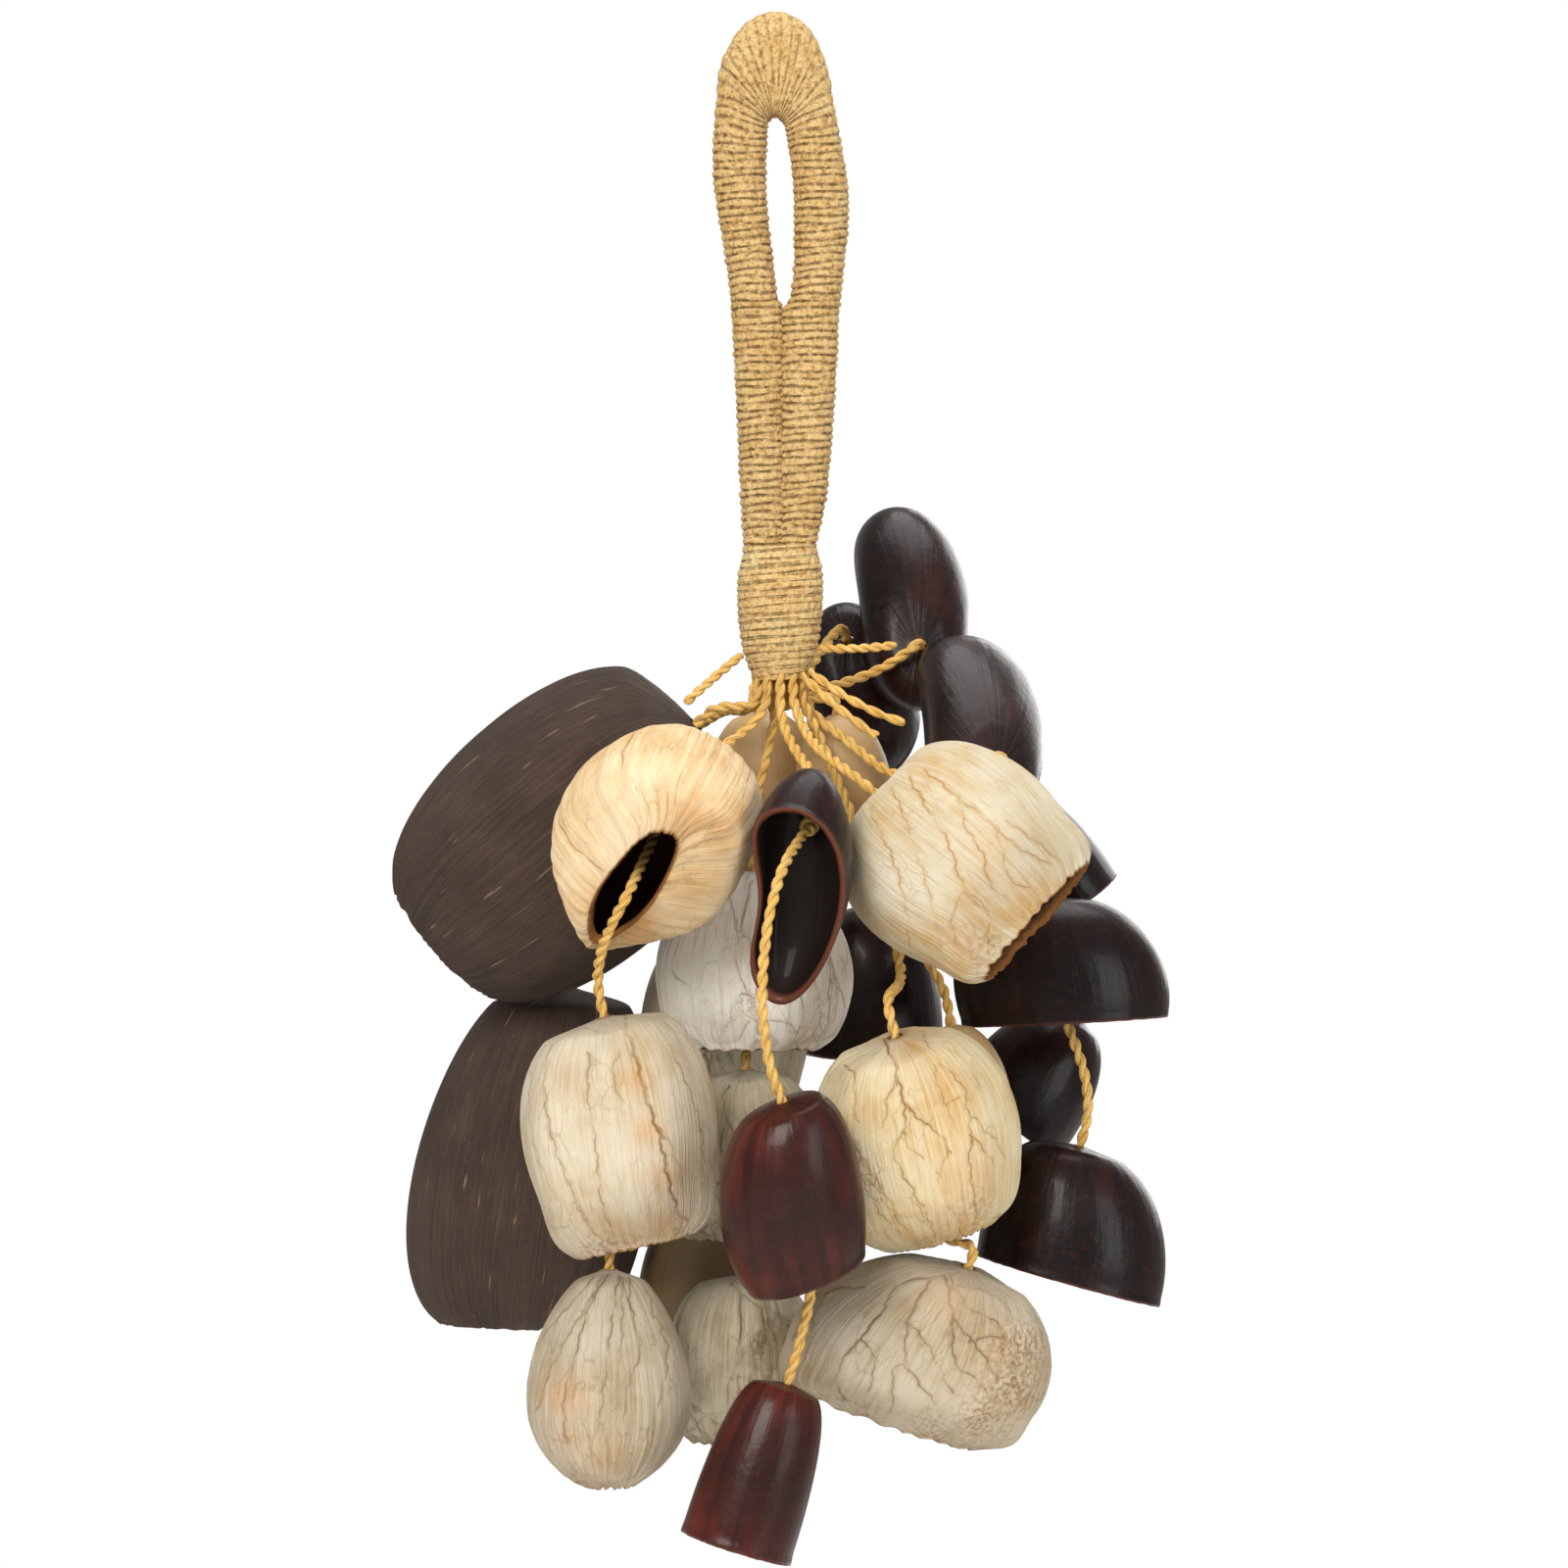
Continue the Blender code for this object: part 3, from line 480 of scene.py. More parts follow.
def cream_material(tone):
    light, middle, deep, vein = (srgb(*c) for c in TONES[tone])
    m = Nodes("cream_" + tone)
    place = m.millimetres()
    flow = m.attribute("flow", "Vector")
    side, near, width = m.split(m.attribute("line", "Vector"))
    gold, grit, _ = m.split(m.attribute("marks", "Vector"))
    patches = m.noise(place, 0.06, 3.0, 0.6)
    streaks = m.noise(m.scaled(flow, (1.3, 1.3, 0.045)), 1.0, 5.0, 0.65)
    fine = m.noise(m.scaled(flow, (4.2, 4.2, 0.09)), 1.0, 4.0, 0.65)
    grain = m.noise(place, 2.0, 3.0, 0.65)

    # the veins: crisp thin lines that waver and fade in and out
    waver = m.times(m.minus(m.noise(place, 0.4, 2.0), 0.5), 0.2)
    away = m.math("ABSOLUTE", m.plus(side, waver))
    away = m.math("DIVIDE", away, m.plus(m.times(width, 0.75), 0.20))
    reach = m.ramp(near, [(0.42, 1.0), (0.62, 0.0)])
    fade = m.ramp(m.noise(place, 0.13, 2.0), [(0.36, 0.25), (0.56, 1.0)])
    lines = m.times(m.times(m.ramp(away, [(0.14, 1.0), (0.42, 0.0)]), reach), fade)
    # a fainter web of fine cracks between them
    bent = m.add("ShaderNodeVectorMath", operation="ADD")
    m.put(m.scaled(flow, (0.36, 0.36, 0.13)), bent.inputs[0])
    m.put(m.wavering(place, 0.22, 0.45), bent.inputs[1])
    web = m.add("ShaderNodeTexVoronoi", feature="DISTANCE_TO_EDGE")
    m.put(bent.outputs[0], web.inputs["Vector"])
    web.inputs["Scale"].default_value = 1.0
    cracks = m.times(m.ramp(web.outputs["Distance"], [(0.012, 1.0), (0.05, 0.0)]),
                    m.ramp(m.noise(place, 0.09, 2.0), [(0.42, 0.0), (0.60, 1.0)]))

    colour = m.ramp(patches, [(0.32, deep), (0.47, middle), (0.62, light)])
    colour = m.tint(colour, streaks, [(0.44, 0.0), (0.64, 0.6)], light)
    colour = m.tint(colour, streaks, [(0.30, 0.6), (0.44, 0.0)], deep)
    colour = m.tint(colour, fine, [(0.30, 0.45), (0.45, 0.0)], deep)
    colour = m.blend(m.times(m.ramp(near, [(0.3, 0.38), (0.98, 0.0)]), fade), colour, deep)
    colour = m.blend(m.times(gold, m.ramp(streaks, [(0.34, 1.0), (0.62, 0.35)])), colour,
                     srgb(206, 150, 82))
    colour = m.blend(m.times(cracks, 0.28), colour, vein)
    heavy = m.math("ADD", m.times(width, 0.60), 0.28, True)
    colour = m.blend(m.times(lines, heavy), colour, vein)
    pits = m.noise(place, 0.95, 3.0, 0.7)
    colour = m.blend(m.times(grit, m.ramp(pits, [(0.40, 0.9), (0.52, 0.0)])), colour,
                     srgb(150, 110, 66))
    colour = m.blend(m.times(grit, m.ramp(pits, [(0.50, 0.0), (0.62, 0.5)])), colour,
                     srgb(226, 204, 166))
    colour = m.tint(colour, grain, [(0.26, 0.40), (0.38, 0.0)], deep)
    # the inner wall painted dark brown: painted shade in the hollow
    colour = m.edges(colour, srgb(88, 54, 30), srgb(146, 94, 44))
    height = m.weighted((streaks, 0.75), (fine, 0.45), (grain, 0.12), (lines, -0.20), (cracks, -0.10),
                        (m.times(grit, pits), 0.8))
    return m.finish(colour, m.ramp(grain, [(0.3, 0.70), (0.7, 0.86)]),
                    m.bump(height, 0.0009, 0.9), Specular_IOR_Level=0.3)


def pod_material(name, dark, middle, red):
    m = Nodes(name)
    place = m.millimetres()
    flow = m.attribute("flow", "Vector")
    cloud = m.noise(place, 0.05, 3.0, 0.55)
    bands = m.noise(m.scaled(flow, (0.32, 0.32, 0.03)), 1.0, 3.0, 0.55)
    fine = m.noise(place, 0.55, 4.0, 0.6)
    colour = m.ramp(cloud, [(0.34, dark), (0.52, middle), (0.68, red)])
    colour = m.tint(colour, bands, [(0.36, 0.75), (0.54, 0.0)], dark)
    colour = m.tint(colour, fine, [(0.56, 0.0), (0.76, 0.22)], srgb(92, 46, 34))
    # the inner wall painted near black: painted shade in the hollow
    colour = m.edges(colour, srgb(26, 17, 14), srgb(92, 50, 34))
    rough = m.ramp(m.noise(place, 0.12, 4.0, 0.6), [(0.3, 0.26), (0.7, 0.42)])
    rough = m.blend(m.attribute("inside"), rough, (0.7, 0.7, 0.7, 1))
    height = m.weighted((fine, 0.4), (bands, 1.0))
    return m.finish(colour, rough, m.bump(height, 0.0005, 0.5), Specular_IOR_Level=0.18,
                    Coat_Weight=0.08, Coat_Roughness=0.12)


def husk_material():
    m = Nodes("husk")
    place = m.millimetres()
    flow = m.attribute("flow", "Vector")
    fibre = m.noise(m.scaled(flow, (1.7, 1.7, 0.06)), 1.0, 6.0, 0.75)
    bands = m.noise(m.scaled(flow, (0.25, 0.25, 0.012)), 1.0, 4.0, 0.65)
    scratch = m.noise(m.scaled(flow, (1.1, 1.1, 0.09)), 1.0, 1.5, 0.5, 0.5)
    dust = m.noise(place, 0.07, 4.0, 0.6)
    specks = m.noise(place, 0.9, 2.0, 0.6)
    colour = m.ramp(dust, [(0.30, srgb(62, 49, 41)), (0.52, srgb(72, 57, 48)), (0.74, srgb(82, 66, 56))])
    colour = m.tint(colour, bands, [(0.34, 0.30), (0.52, 0.0)], srgb(52, 42, 36))
    colour = m.tint(colour, fibre, [(0.50, 0.0), (0.70, 0.45)], srgb(108, 87, 73))
    colour = m.tint(colour, fibre, [(0.34, 0.60), (0.47, 0.0)], srgb(42, 33, 28))
    colour = m.tint(colour, scratch, [(0.70, 0.0), (0.75, 0.7)], srgb(150, 121, 98))
    colour = m.tint(colour, specks, [(0.70, 0.0), (0.76, 0.5)], srgb(120, 82, 58))
    # the inner wall painted darker brown: painted shade in the hollow
    colour = m.edges(colour, srgb(48, 34, 25), srgb(74, 52, 38))
    height = m.weighted((fibre, 1.0), (scratch, 0.4))
    return m.finish(colour, m.ramp(fibre, [(0.3, 0.66), (0.7, 0.84)]), m.bump(height, 0.0008, 0.9),
                    Specular_IOR_Level=0.26)


def tan_material(name, shade):
    m = Nodes(name)
    place = m.millimetres()
    flow = m.attribute("flow", "Vector")
    cloud = m.noise(place, 0.05, 3.0)
    streak = m.noise(m.scaled(flow, (1.2, 1.2, 0.05)), 1.0, 4.0, 0.6)
    colour = m.ramp(cloud, [(0.32, srgb(146, 112, 70)), (0.5, srgb(172, 139, 92)), (0.68, srgb(192, 162, 114))])
    colour = m.tint(colour, streak, [(0.30, 0.5), (0.45, 0.0)], srgb(140, 104, 62))
    # the inner wall painted darker brown: painted shade in the hollow
    colour = m.edges(colour, srgb(112, 80, 48), srgb(222, 200, 160))
    # a shade below 1 darkens all the colours: painted shade for a shell that hangs in shadow
    colour = m.blend(1.0, colour, (shade, shade, shade, 1), "MULTIPLY")
    return m.finish(colour, m.ramp(streak, [(0.3, 0.42), (0.7, 0.58)]), m.bump(streak, 0.0002, 0.5))


def twine_material(name, light, middle, dark):
    m = Nodes(name)
    place = m.millimetres()
    flow = m.attribute("flow", "Vector")
    hairs = m.noise(m.scaled(flow, (0.30, 2.6, 2.6)), 1.0, 4.0, 0.6)
    patches = m.noise(place, 0.22, 3.0, 0.6)
    fine = m.noise(place, 3.2, 3.0, 0.7)
    colour = m.ramp(patches, [(0.30, middle), (0.62, light)])
    colour = m.tint(colour, hairs, [(0.30, 0.75), (0.50, 0.0)], dark)
    colour = m.tint(colour, fine, [(0.30, 0.5), (0.45, 0.0)], dark)
    height = m.weighted((hairs, 0.6), (fine, 0.4))
    return m.finish(colour, 0.85, m.bump(height, 0.0004, 0.8), Specular_IOR_Level=0.2)


def wound_material(name, light, middle, dark, painted_gap_shade):
    """Turns of crinkled twine side by side: the gaps between turns painted dark in broken dashes as shade, and
    knobs along each turn.
    """
    m = Nodes(name)
    place = m.millimetres()
    turn, along, crown = m.split(m.attribute("wind", "Vector"))
    across = m.math("ABSOLUTE", m.minus(m.times(m.math("FRACT", turn), 2.0), 1.0))
    broken = m.ramp(m.noise(place, 0.55, 4.0, 0.7), [(0.42, 0.12), (0.60, 1.0)])
    broken = m.times(broken, m.minus(1.0, m.times(crown, 0.5)))
    gap = m.times(m.ramp(across, [(0.60, 0.0), (0.95, 1.0)]), broken)
    patches = m.noise(place, 0.10, 3.0, 0.6)
    knobs = m.noise(place, 0.95, 5.0, 0.75)
    fine = m.noise(place, 2.4, 3.0, 0.7)
    join = m.add("ShaderNodeCombineXYZ")
    m.put(m.times(along, 0.9), join.inputs[0])
    m.put(m.times(turn, 1.6), join.inputs[1])
    strand = m.noise(join.outputs[0], 1.0, 4.0, 0.65)
    colour = m.ramp(patches, [(0.34, middle), (0.62, light)])
    colour = m.tint(colour, strand, [(0.32, 0.6), (0.48, 0.0)], dark)
    colour = m.tint(colour, knobs, [(0.36, 0.85), (0.50, 0.0)], dark)
    colour = m.tint(colour, knobs, [(0.53, 0.0), (0.66, 0.6)], srgb(255, 230, 172))
    # painted shade: the gaps between the turns darkened to brown, in broken dashes
    colour = m.blend(m.times(gap, painted_gap_shade), colour, srgb(112, 74, 34))
    height = m.weighted((knobs, 0.8), (strand, 0.5), (fine, 0.25), (gap, -0.9))
    return m.finish(colour, 0.88, m.bump(height, 0.0014, 1.0), Specular_IOR_Level=0.18)


def plain_fibre(name, colour_a, colour_b):
    m = Nodes(name)
    place = m.millimetres()
    grain = m.noise(place, 1.2, 4.0, 0.6)
    return m.finish(m.ramp(grain, [(0.3, colour_a), (0.7, colour_b)]), 0.9, m.bump(grain, 0.0003, 0.6))


# ---- meshes ----

def mesh_object(name, points, faces, material, attributes=None):
    mesh = bpy.data.meshes.new(name)
    count = len(points)
    mesh.vertices.add(count)
    mesh.vertices.foreach_set("co", (np.asarray(points, np.float32) * MM).ravel())
    faces = np.asarray(faces, np.int32)
    mesh.loops.add(faces.size)
    mesh.loops.foreach_set("vertex_index", faces.ravel())
    mesh.polygons.add(len(faces))
    mesh.polygons.foreach_set("loop_start", np.arange(len(faces), dtype=np.int32) * faces.shape[1])
    mesh.update(calc_edges=True)
    mesh.shade_smooth()
    for key, values in (attributes or {}).items():
        values = np.asarray(values, np.float32)
        kind = "FLOAT_VECTOR" if values.ndim == 2 else "FLOAT"
        layer = mesh.attributes.new(key, kind, "POINT")
        layer.data.foreach_set("vector" if values.ndim == 2 else "value", values.ravel())
    mesh.materials.append(material)
    obj = bpy.data.objects.new(name, mesh)
    bpy.context.scene.collection.objects.link(obj)
    return obj


def ring_faces(rings, sides, closed_rings, flip=False):
    """Quads over a grid of rings, each ring closed, and the rings closed if asked."""
    last = rings if closed_rings else rings - 1
    i = np.arange(last)[:, None]
    k = np.arange(sides)[None, :]
    j = (i + 1) % rings
    n = (k + 1) % sides
    quads = np.stack(np.broadcast_arrays(i * sides + k, i * sides + n, j * sides + n, j * sides + k), -1)
    quads = quads.reshape(-1, 4)
    return quads[:, ::-1] if flip else quads


def wall_points(form, size, lean, turn, angle, inset):
    """A shell's wall as in the model: turn goes round it, angle from its top to its mouth."""
    half_x, half_y, height = size
    mouth = math.radians(form["mouth"])
    down = (1 - np.cos(angle)) / (1 - math.cos(mouth))
    wide = np.maximum(np.sin(angle), 0.0) ** form["power"] * (1 + form["taper"] * (1 - 2 * down))
    pinch = form["slit"] * smooth((angle - PINCH_FROM) / (mouth - PINCH_FROM))
    wave = 1 + form["lobe"] * np.sin(5 * turn + 2.2 * down) * smooth(down * 3)
    dent = 1 - form["dent"] * smooth(down) * np.maximum(0.0, np.sin(turn)) ** 4
    egg = 1 + form["egg"] * smooth(down) * np.cos(turn)
    x = (half_x - inset) * wide * (1 + SLIT_LONGER * pinch) * wave * np.cos(turn)
    y = (half_y - inset) * wide * (1 - SLIT_NARROWER * pinch) * wave * dent * egg * np.sin(turn)
    x = x + lean * half_x * (1 - down) ** 1.5
    z = -height * down
    if inset:
        z = mix(-form["wall"], -height + form["lip"] * form["wall"], down)
    return np.stack(np.broadcast_arrays(x, y, z), -1)


def kind_of(name):
    return name.split("_")[0]


def form_of(name):
    return {**PLAIN, **KINDS[kind_of(name)], **FORMS.get(name, {})}


def sums(rng, turn, down, count, low, high, down_rate):
    """A smooth wave field over a shell, periodic round it, about 1 high."""
    total = np.zeros(np.broadcast(turn, down).shape)
    for _ in range(count):
        n = rng.integers(low, high)
        total += np.sin(n * turn + rng.uniform(0, math.tau) + down * rng.uniform(-1, 1) * down_rate)
    return total / math.sqrt(count)


def vein_paths(rng, trunks, fork):
    """Branching lines from the top of a shell to its mouth: turn, share of the way down, width."""
    paths, count = [], 0
    first = rng.uniform(0, math.tau)
    starts = [(first + math.tau * (i + rng.uniform(-0.3, 0.3)) / trunks, rng.uniform(0.07, 0.26),
               rng.uniform(-0.1, 0.1), rng.uniform(0.7, 1.0)) for i in range(trunks)]
    while starts and count < 4200:
        turn, share, heading, width = starts.pop(0)
        bias = heading * 0.4
        path = []
        for _ in range(rng.integers(35, 95)):
            path.append((turn, share, width))
            heading += rng.normal(0, 0.17) - 0.10 * (heading - bias)
            wide = max(0.25, math.sin(share * math.pi * 0.9))
            turn += 0.024 * math.sin(heading) / wide
            share += 0.0115 * math.cos(heading)
            width *= 0.993
            if not 0.03 < share < 0.985 or width < 0.18:
                break
            if rng.random() < fork and width > 0.3:
                side = rng.choice((-1, 1)) * rng.uniform(0.35, 0.85)
                starts.append((turn, share, heading + side, width * rng.uniform(0.55, 0.85)))
                heading -= side * 0.35
        if len(path) > 4:
            paths.append(np.array(path))
            count += len(path)
    return paths


def tree_of(points):
    tree = KDTree(len(points))
    for i, p in enumerate(points):
        tree.insert(p, i)
    tree.balance()
    return tree


def unit(vectors):
    return vectors / np.maximum(np.linalg.norm(vectors, axis=-1, keepdims=True), 1e-9)


def lengths_along(line):
    return np.concatenate([[0], np.cumsum(np.linalg.norm(np.diff(line, axis=0), axis=1))])


def traced_paths(lines, placed, centre):
    """Lines drawn over the front of a shell, laid onto its wall: points and widths."""
    front = np.flatnonzero(placed[:, 1] < centre[1] + 3)
    tree = tree_of([(placed[k, 0], placed[k, 2], 0) for k in front])
    paths = []
    for width, corners in lines:
        line, at = resample(rounded(corners), 0.35)
        wobble = 0.22 * np.sin(at * 1.3 + width * 40) + 0.12 * np.sin(at * 3.1)
        line = line + np.stack([wobble, 0.5 * wobble], 1)
        depth = []
        for x, z in line:
            found = tree.find_n((x, z, 0), 4)
            share = np.array([1 / (0.05 + f[2]) for f in found])
            depth.append(sum(s * placed[front[f[1]], 1] for s, f in zip(share, found)) / share.sum())
        paths.append((np.stack([line[:, 0], depth, line[:, 1]], 1), width * np.linspace(1, 0.6, len(line))))
    return paths


def line_field(paths, points, normals):
    """For each point: distance to the side of the nearest line, plain distance, and that line's width."""
    on = np.concatenate([line for line, _ in paths])
    wide = np.concatenate([width for _, width in paths])
    way = unit(np.concatenate([np.gradient(line, axis=0) for line, _ in paths]))
    tree = tree_of(on)
    near = np.array([tree.find(p)[1:] for p in points])
    index, away = near[:, 0].astype(int), near[:, 1]
    across = np.cross(normals, way[index])
    side = ((points - on[index]) * across).sum(1)
    return np.stack([np.clip(side, -3, 3), away, wide[index]], 1)


def spots(marks, points, centre):
    """Soft round marks on the side of a shell that faces the front."""
    total = np.zeros(len(points))
    front = smooth((centre[1] + 4 - points[:, 1]) / 6)
    for x, z, radius, amount in marks:
        away = ((points[:, 0] - x) ** 2 + (points[:, 2] - z) ** 2) / radius ** 2
        total = np.maximum(total, amount * np.exp(-away))
    return total * front


def shell_object(name, size, lean, frame_matrix, material):
    """One shell: outer wall, rim and inner wall as rings, with what its material needs."""
    kind = kind_of(name)
    around, down_rings = CREAMS[name].grid if name in CREAMS else GRIDS[kind]
    form = form_of(name)
    mouth = math.radians(form["mouth"])
    inner_rings = max(12, down_rings // 5)
    turn = (np.arange(around) * math.tau / around)[None, :]
    seed = sum(ord(c) * (i + 7) for i, c in enumerate(name))
    rng = np.random.default_rng(seed)
    first = FIRST_RING

    def rings_at(shares, inset):
        angle = (mouth * shares)[:, None]
        points = wall_points(form, size, lean, turn, angle, inset)
        # towards the top the section becomes the round hole for the string
        top = smooth((shares - first) / 0.10)[:, None, None]
        hole = np.stack(np.broadcast_arrays(lean * size[0] + HOLE_R * np.cos(turn),
                                            HOLE_R * np.sin(turn), points[..., 2]), -1)
        return mix(hole, points, top)

    outer_shares = np.linspace(first, 1.0, down_rings)
    outer = rings_at(outer_shares, 0)
    outer[0, :, 2] = outer[1, :, 2] + 0.02
    inner_shares = np.linspace(1.0, first, inner_rings)
    inner = rings_at(inner_shares, form["wall"])
    down_o = np.broadcast_to(outer_shares[:, None], outer.shape[:2])
    turn_o = np.broadcast_to(turn, outer.shape[:2])

    # outward direction of the outer wall, from the grid itself
    along = np.gradient(outer, axis=0)
    across = (np.roll(outer, -1, axis=1) - np.roll(outer, 1, axis=1)) / 2
    normal = unit(np.cross(across, along))
    if (normal[down_rings // 2] * (outer[down_rings // 2] - outer[down_rings // 2].mean(0))).sum() < 0:
        normal = -normal
    extra = {}
    edge = smooth((down_o - first) / 0.12) * smooth((1 - down_o) / 0.05)
    lift = np.zeros(outer.shape[:2])
    if kind == "cream":
        look = CREAMS[name]
        rng = np.random.default_rng(look.seed)
        lift += 0.35 * sums(rng, turn_o, down_o, 5, 2, 6, 5.0) * edge
        wander = 0.10 * sums(rng, turn_o, down_o, 4, 1, 4, 9.0)
        fine = sums(rng, turn_o + wander, down_o, 9, *look.waves, 7.0)
        lift += look.wrinkle * np.tanh(fine) * edge * (0.35 + 0.65 * down_o)
        turned = np.array(frame_matrix.to_3x3())
        placed = outer.reshape(-1, 3) @ turned.T + np.array(frame_matrix.translation) / MM
        facing = normal.reshape(-1, 3) @ turned.T
        centre = placed.mean(0)
        paths = traced_paths(TRACED.get(name, []), placed, centre)
        for path in vein_paths(rng, look.trunks, look.fork):
            line = wall_points(form, size, lean, path[:, 0], mouth * path[:, 1], 0) @ turned.T \
                + np.array(frame_matrix.translation) / MM
            # where lines are traced, the others keep to the back
            keep = (line[:, 1] > centre[1] + 2) if name in TRACED else np.full(len(line), True)
            if keep.sum() > 4:
                paths.append((line[keep], path[keep, 2]))
        field = line_field(paths, placed, facing)
        away = field[:, 1].reshape(outer.shape[:2])
        wide = field[:, 2].reshape(outer.shape[:2])
        lift += look.groove * (0.55 * np.exp(-(away / 1.3) ** 2)
                                  - 1.4 * np.exp(-(away / 0.6) ** 2) * (0.35 + 0.65 * wide)
                                  * (wide < RIDGE_FROM)) * edge
        golden, gritty = (spots(marks.get(name, []), placed, centre) for marks in (STAINS, GRIT))
        marks = np.stack([golden, gritty, 0 * golden], 1)
        lift += 0.25 * marks[:, 1].reshape(away.shape) * sums(rng, turn_o, 40 * down_o, 6, 30, 70, 3.0) * edge
        blank = np.tile((3.0, 3.0, 0.0), (inner_rings * around, 1))
        extra = {"line": np.concatenate([field, blank]),
                 "marks": np.concatenate([marks, np.zeros((inner_rings * around, 3))])}
    elif kind == "husk":
        fine = sums(rng, turn_o + 0.02 * np.sin(6 * down_o), down_o, 8, 40, 110, 2.0)
        lift += 0.10 * fine * edge + 0.35 * sums(rng, turn_o, down_o, 4, 2, 5, 3.0) * edge
    elif kind == "pod":
        lift += 0.22 * sums(rng, turn_o, down_o, 4, 1, 4, 3.5) * edge
    else:
        lift += 0.20 * sums(rng, turn_o, down_o, 4, 2, 5, 3.0) * edge
    outer = outer + normal * (lift - 0.25 * edge)[..., None]
    # the mouth's rim wanders a little, more on the dry cream shells
    rim = {"cream": 0.7, "husk": 0.5, "pod": 0.15, "tan": 0.2}[kind]
    level = np.zeros(around)
    ragged = 0.6 * sums(rng, turn[0], level, 5, 3, 12, 0)
    ragged = np.abs(rim * (ragged + 0.4 * sums(rng, turn[0], level, 5, 14, 40, 0)))[None, :]
    outer[..., 2] += ragged * smooth((down_o - 0.90) / 0.10)
    inner[..., 2] += ragged * smooth((inner_shares[:, None] - 0.90) / 0.10)

    points = np.concatenate([outer, inner]).reshape(-1, 3)
    total = down_rings + inner_rings
    faces = ring_faces(total, around, True)
    shares = np.concatenate([outer_shares, inner_shares])
    inside = np.concatenate([np.zeros(down_rings), np.ones(inner_rings)])
    lip = np.concatenate([smooth((outer_shares - 0.985) / 0.015), smooth((inner_shares - 0.93) / 0.07)])
    hole_rim = np.concatenate([1 - smooth((outer_shares - first) / 0.03), np.zeros(inner_rings)])
    lip = np.maximum(lip, 0.8 * hole_rim)

    def spread(values):
        return np.broadcast_to(values[:, None], (total, around)).ravel()

    height = np.concatenate([outer, inner])[..., 2]
    mean = (size[0] + size[1]) / 2
    flow = np.stack([mean * np.cos(np.broadcast_to(turn, (total, around))),
                     mean * np.sin(np.broadcast_to(turn, (total, around))), height], -1).reshape(-1, 3)
    flow = flow + seed % 97
    obj = mesh_object(name + "_shell", points, faces, material, {
        "flow": flow, "inside": spread(inside * (1 - lip)), "lip": spread(lip), **extra})
    obj.matrix_world = frame_matrix
    return obj


def outward(obj):
    """Faces out: the grids may come out turned the other way."""
    bm = bmesh.new()
    bm.from_mesh(obj.data)
    if bm.calc_volume(signed=True) < 0:
        bmesh.ops.reverse_faces(bm, faces=bm.faces)
        bm.to_mesh(obj.data)
    bm.free()
    return obj


def shown(obj, body, node):
    """Rides on a body, in place of a CAD node."""
    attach(obj, body)
    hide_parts(node)


def shell_frame(centre, size, facing, roll):
    """Where a shell sits: its matrix, its top, its turn and the way its mouth faces."""
    axis = Vector(facing).normalized()
    turn = Vector((0, 0, -1)).rotation_difference(axis).to_matrix()
    turn = (turn @ Matrix.Rotation(math.radians(roll), 3, "Z")).to_4x4()
    top = Vector(centre) - axis * size[2] / 2
    return Matrix.Translation(top * MM) @ turn, top, turn, axis


def tube(line, radius, sides):
    """Rings along a line of points, carried without twisting, and their places along and round it."""
    line = np.asarray(line, float)
    count = len(line)
    way = unit(np.gradient(line, axis=0))
    side = np.cross(way[0], (0.0, 0.0, 1.0))
    if np.linalg.norm(side) < 0.1:
        side = np.cross(way[0], (0.0, 1.0, 0.0))
    sides_list = []
    for i in range(count):
        side = side - way[i] * np.dot(side, way[i])
        side = side / np.linalg.norm(side)
        sides_list.append(side.copy())
    side = np.array(sides_list)
    up = np.cross(way, side)
    radius = np.broadcast_to(np.asarray(radius, float), (count,))
    a = (np.arange(sides) * math.tau / sides)[None, :]
    rings = (line[:, None, :] + radius[:, None, None] * (np.cos(a)[..., None] * side[:, None, :]
             + np.sin(a)[..., None] * up[:, None, :]))
    flow = np.stack(np.broadcast_arrays(lengths_along(line)[:, None], np.cos(a), np.sin(a)), -1)
    return rings, flow


def join_tubes(name, tubes, material):
    """Tubes as one mesh, each with its ends drawn in to a point."""
    points, faces, flows, base = [], [], [], 0
    for number, (rings, flow) in enumerate(tubes):
        count, sides = rings.shape[:2]
        rings = rings.copy()
        for end in (0, -1):
            middle = rings[end].mean(0)
            rings[end] = middle + (rings[end] - middle) * 0.05
        points.append(rings.reshape(-1, 3))
        faces.append(ring_faces(count, sides, False) + base)
        flows.append(flow.reshape(-1, 3) + np.array((number * 13.7, number * 3.1, 0)))
        base += count * sides
    return mesh_object(name, np.concatenate(points), np.concatenate(faces), material,
                       {"flow": np.concatenate(flows)})


def resample(line, step):
    """Points at even steps along a line, and how far along each one is."""
    line = np.asarray(line, float)
    along = lengths_along(line)
    at = np.linspace(0, along[-1], max(3, int(along[-1] / step) + 1))
    return np.stack([np.interp(at, along, line[:, k]) for k in range(line.shape[1])], 1), at


def plies(line, radius, pitch, step, phase):
    """The two plies of a twisted string round its line."""
    fine, at = resample(line, step)
    way = np.gradient(fine, axis=0)
    way /= np.linalg.norm(way, axis=1, keepdims=True)
    side = np.cross(way[0], (0.0, 1.0, 0.2))
    frames = []
    for w in way:
        side = side - w * np.dot(side, w)
        side /= np.linalg.norm(side)
        frames.append(side.copy())
    side = np.array(frames)
    up = np.cross(way, side)
    out = []
    for n in (0, 1):
        a = math.tau * (at / pitch + n / 2) + phase
        centre = fine + 0.46 * radius * (np.cos(a)[:, None] * side + np.sin(a)[:, None] * up)
        thick = 0.60 * radius * (1 + 0.06 * np.sin(at * 1.7 + n))
        out.append(tube(centre, thick, 6))
    return out


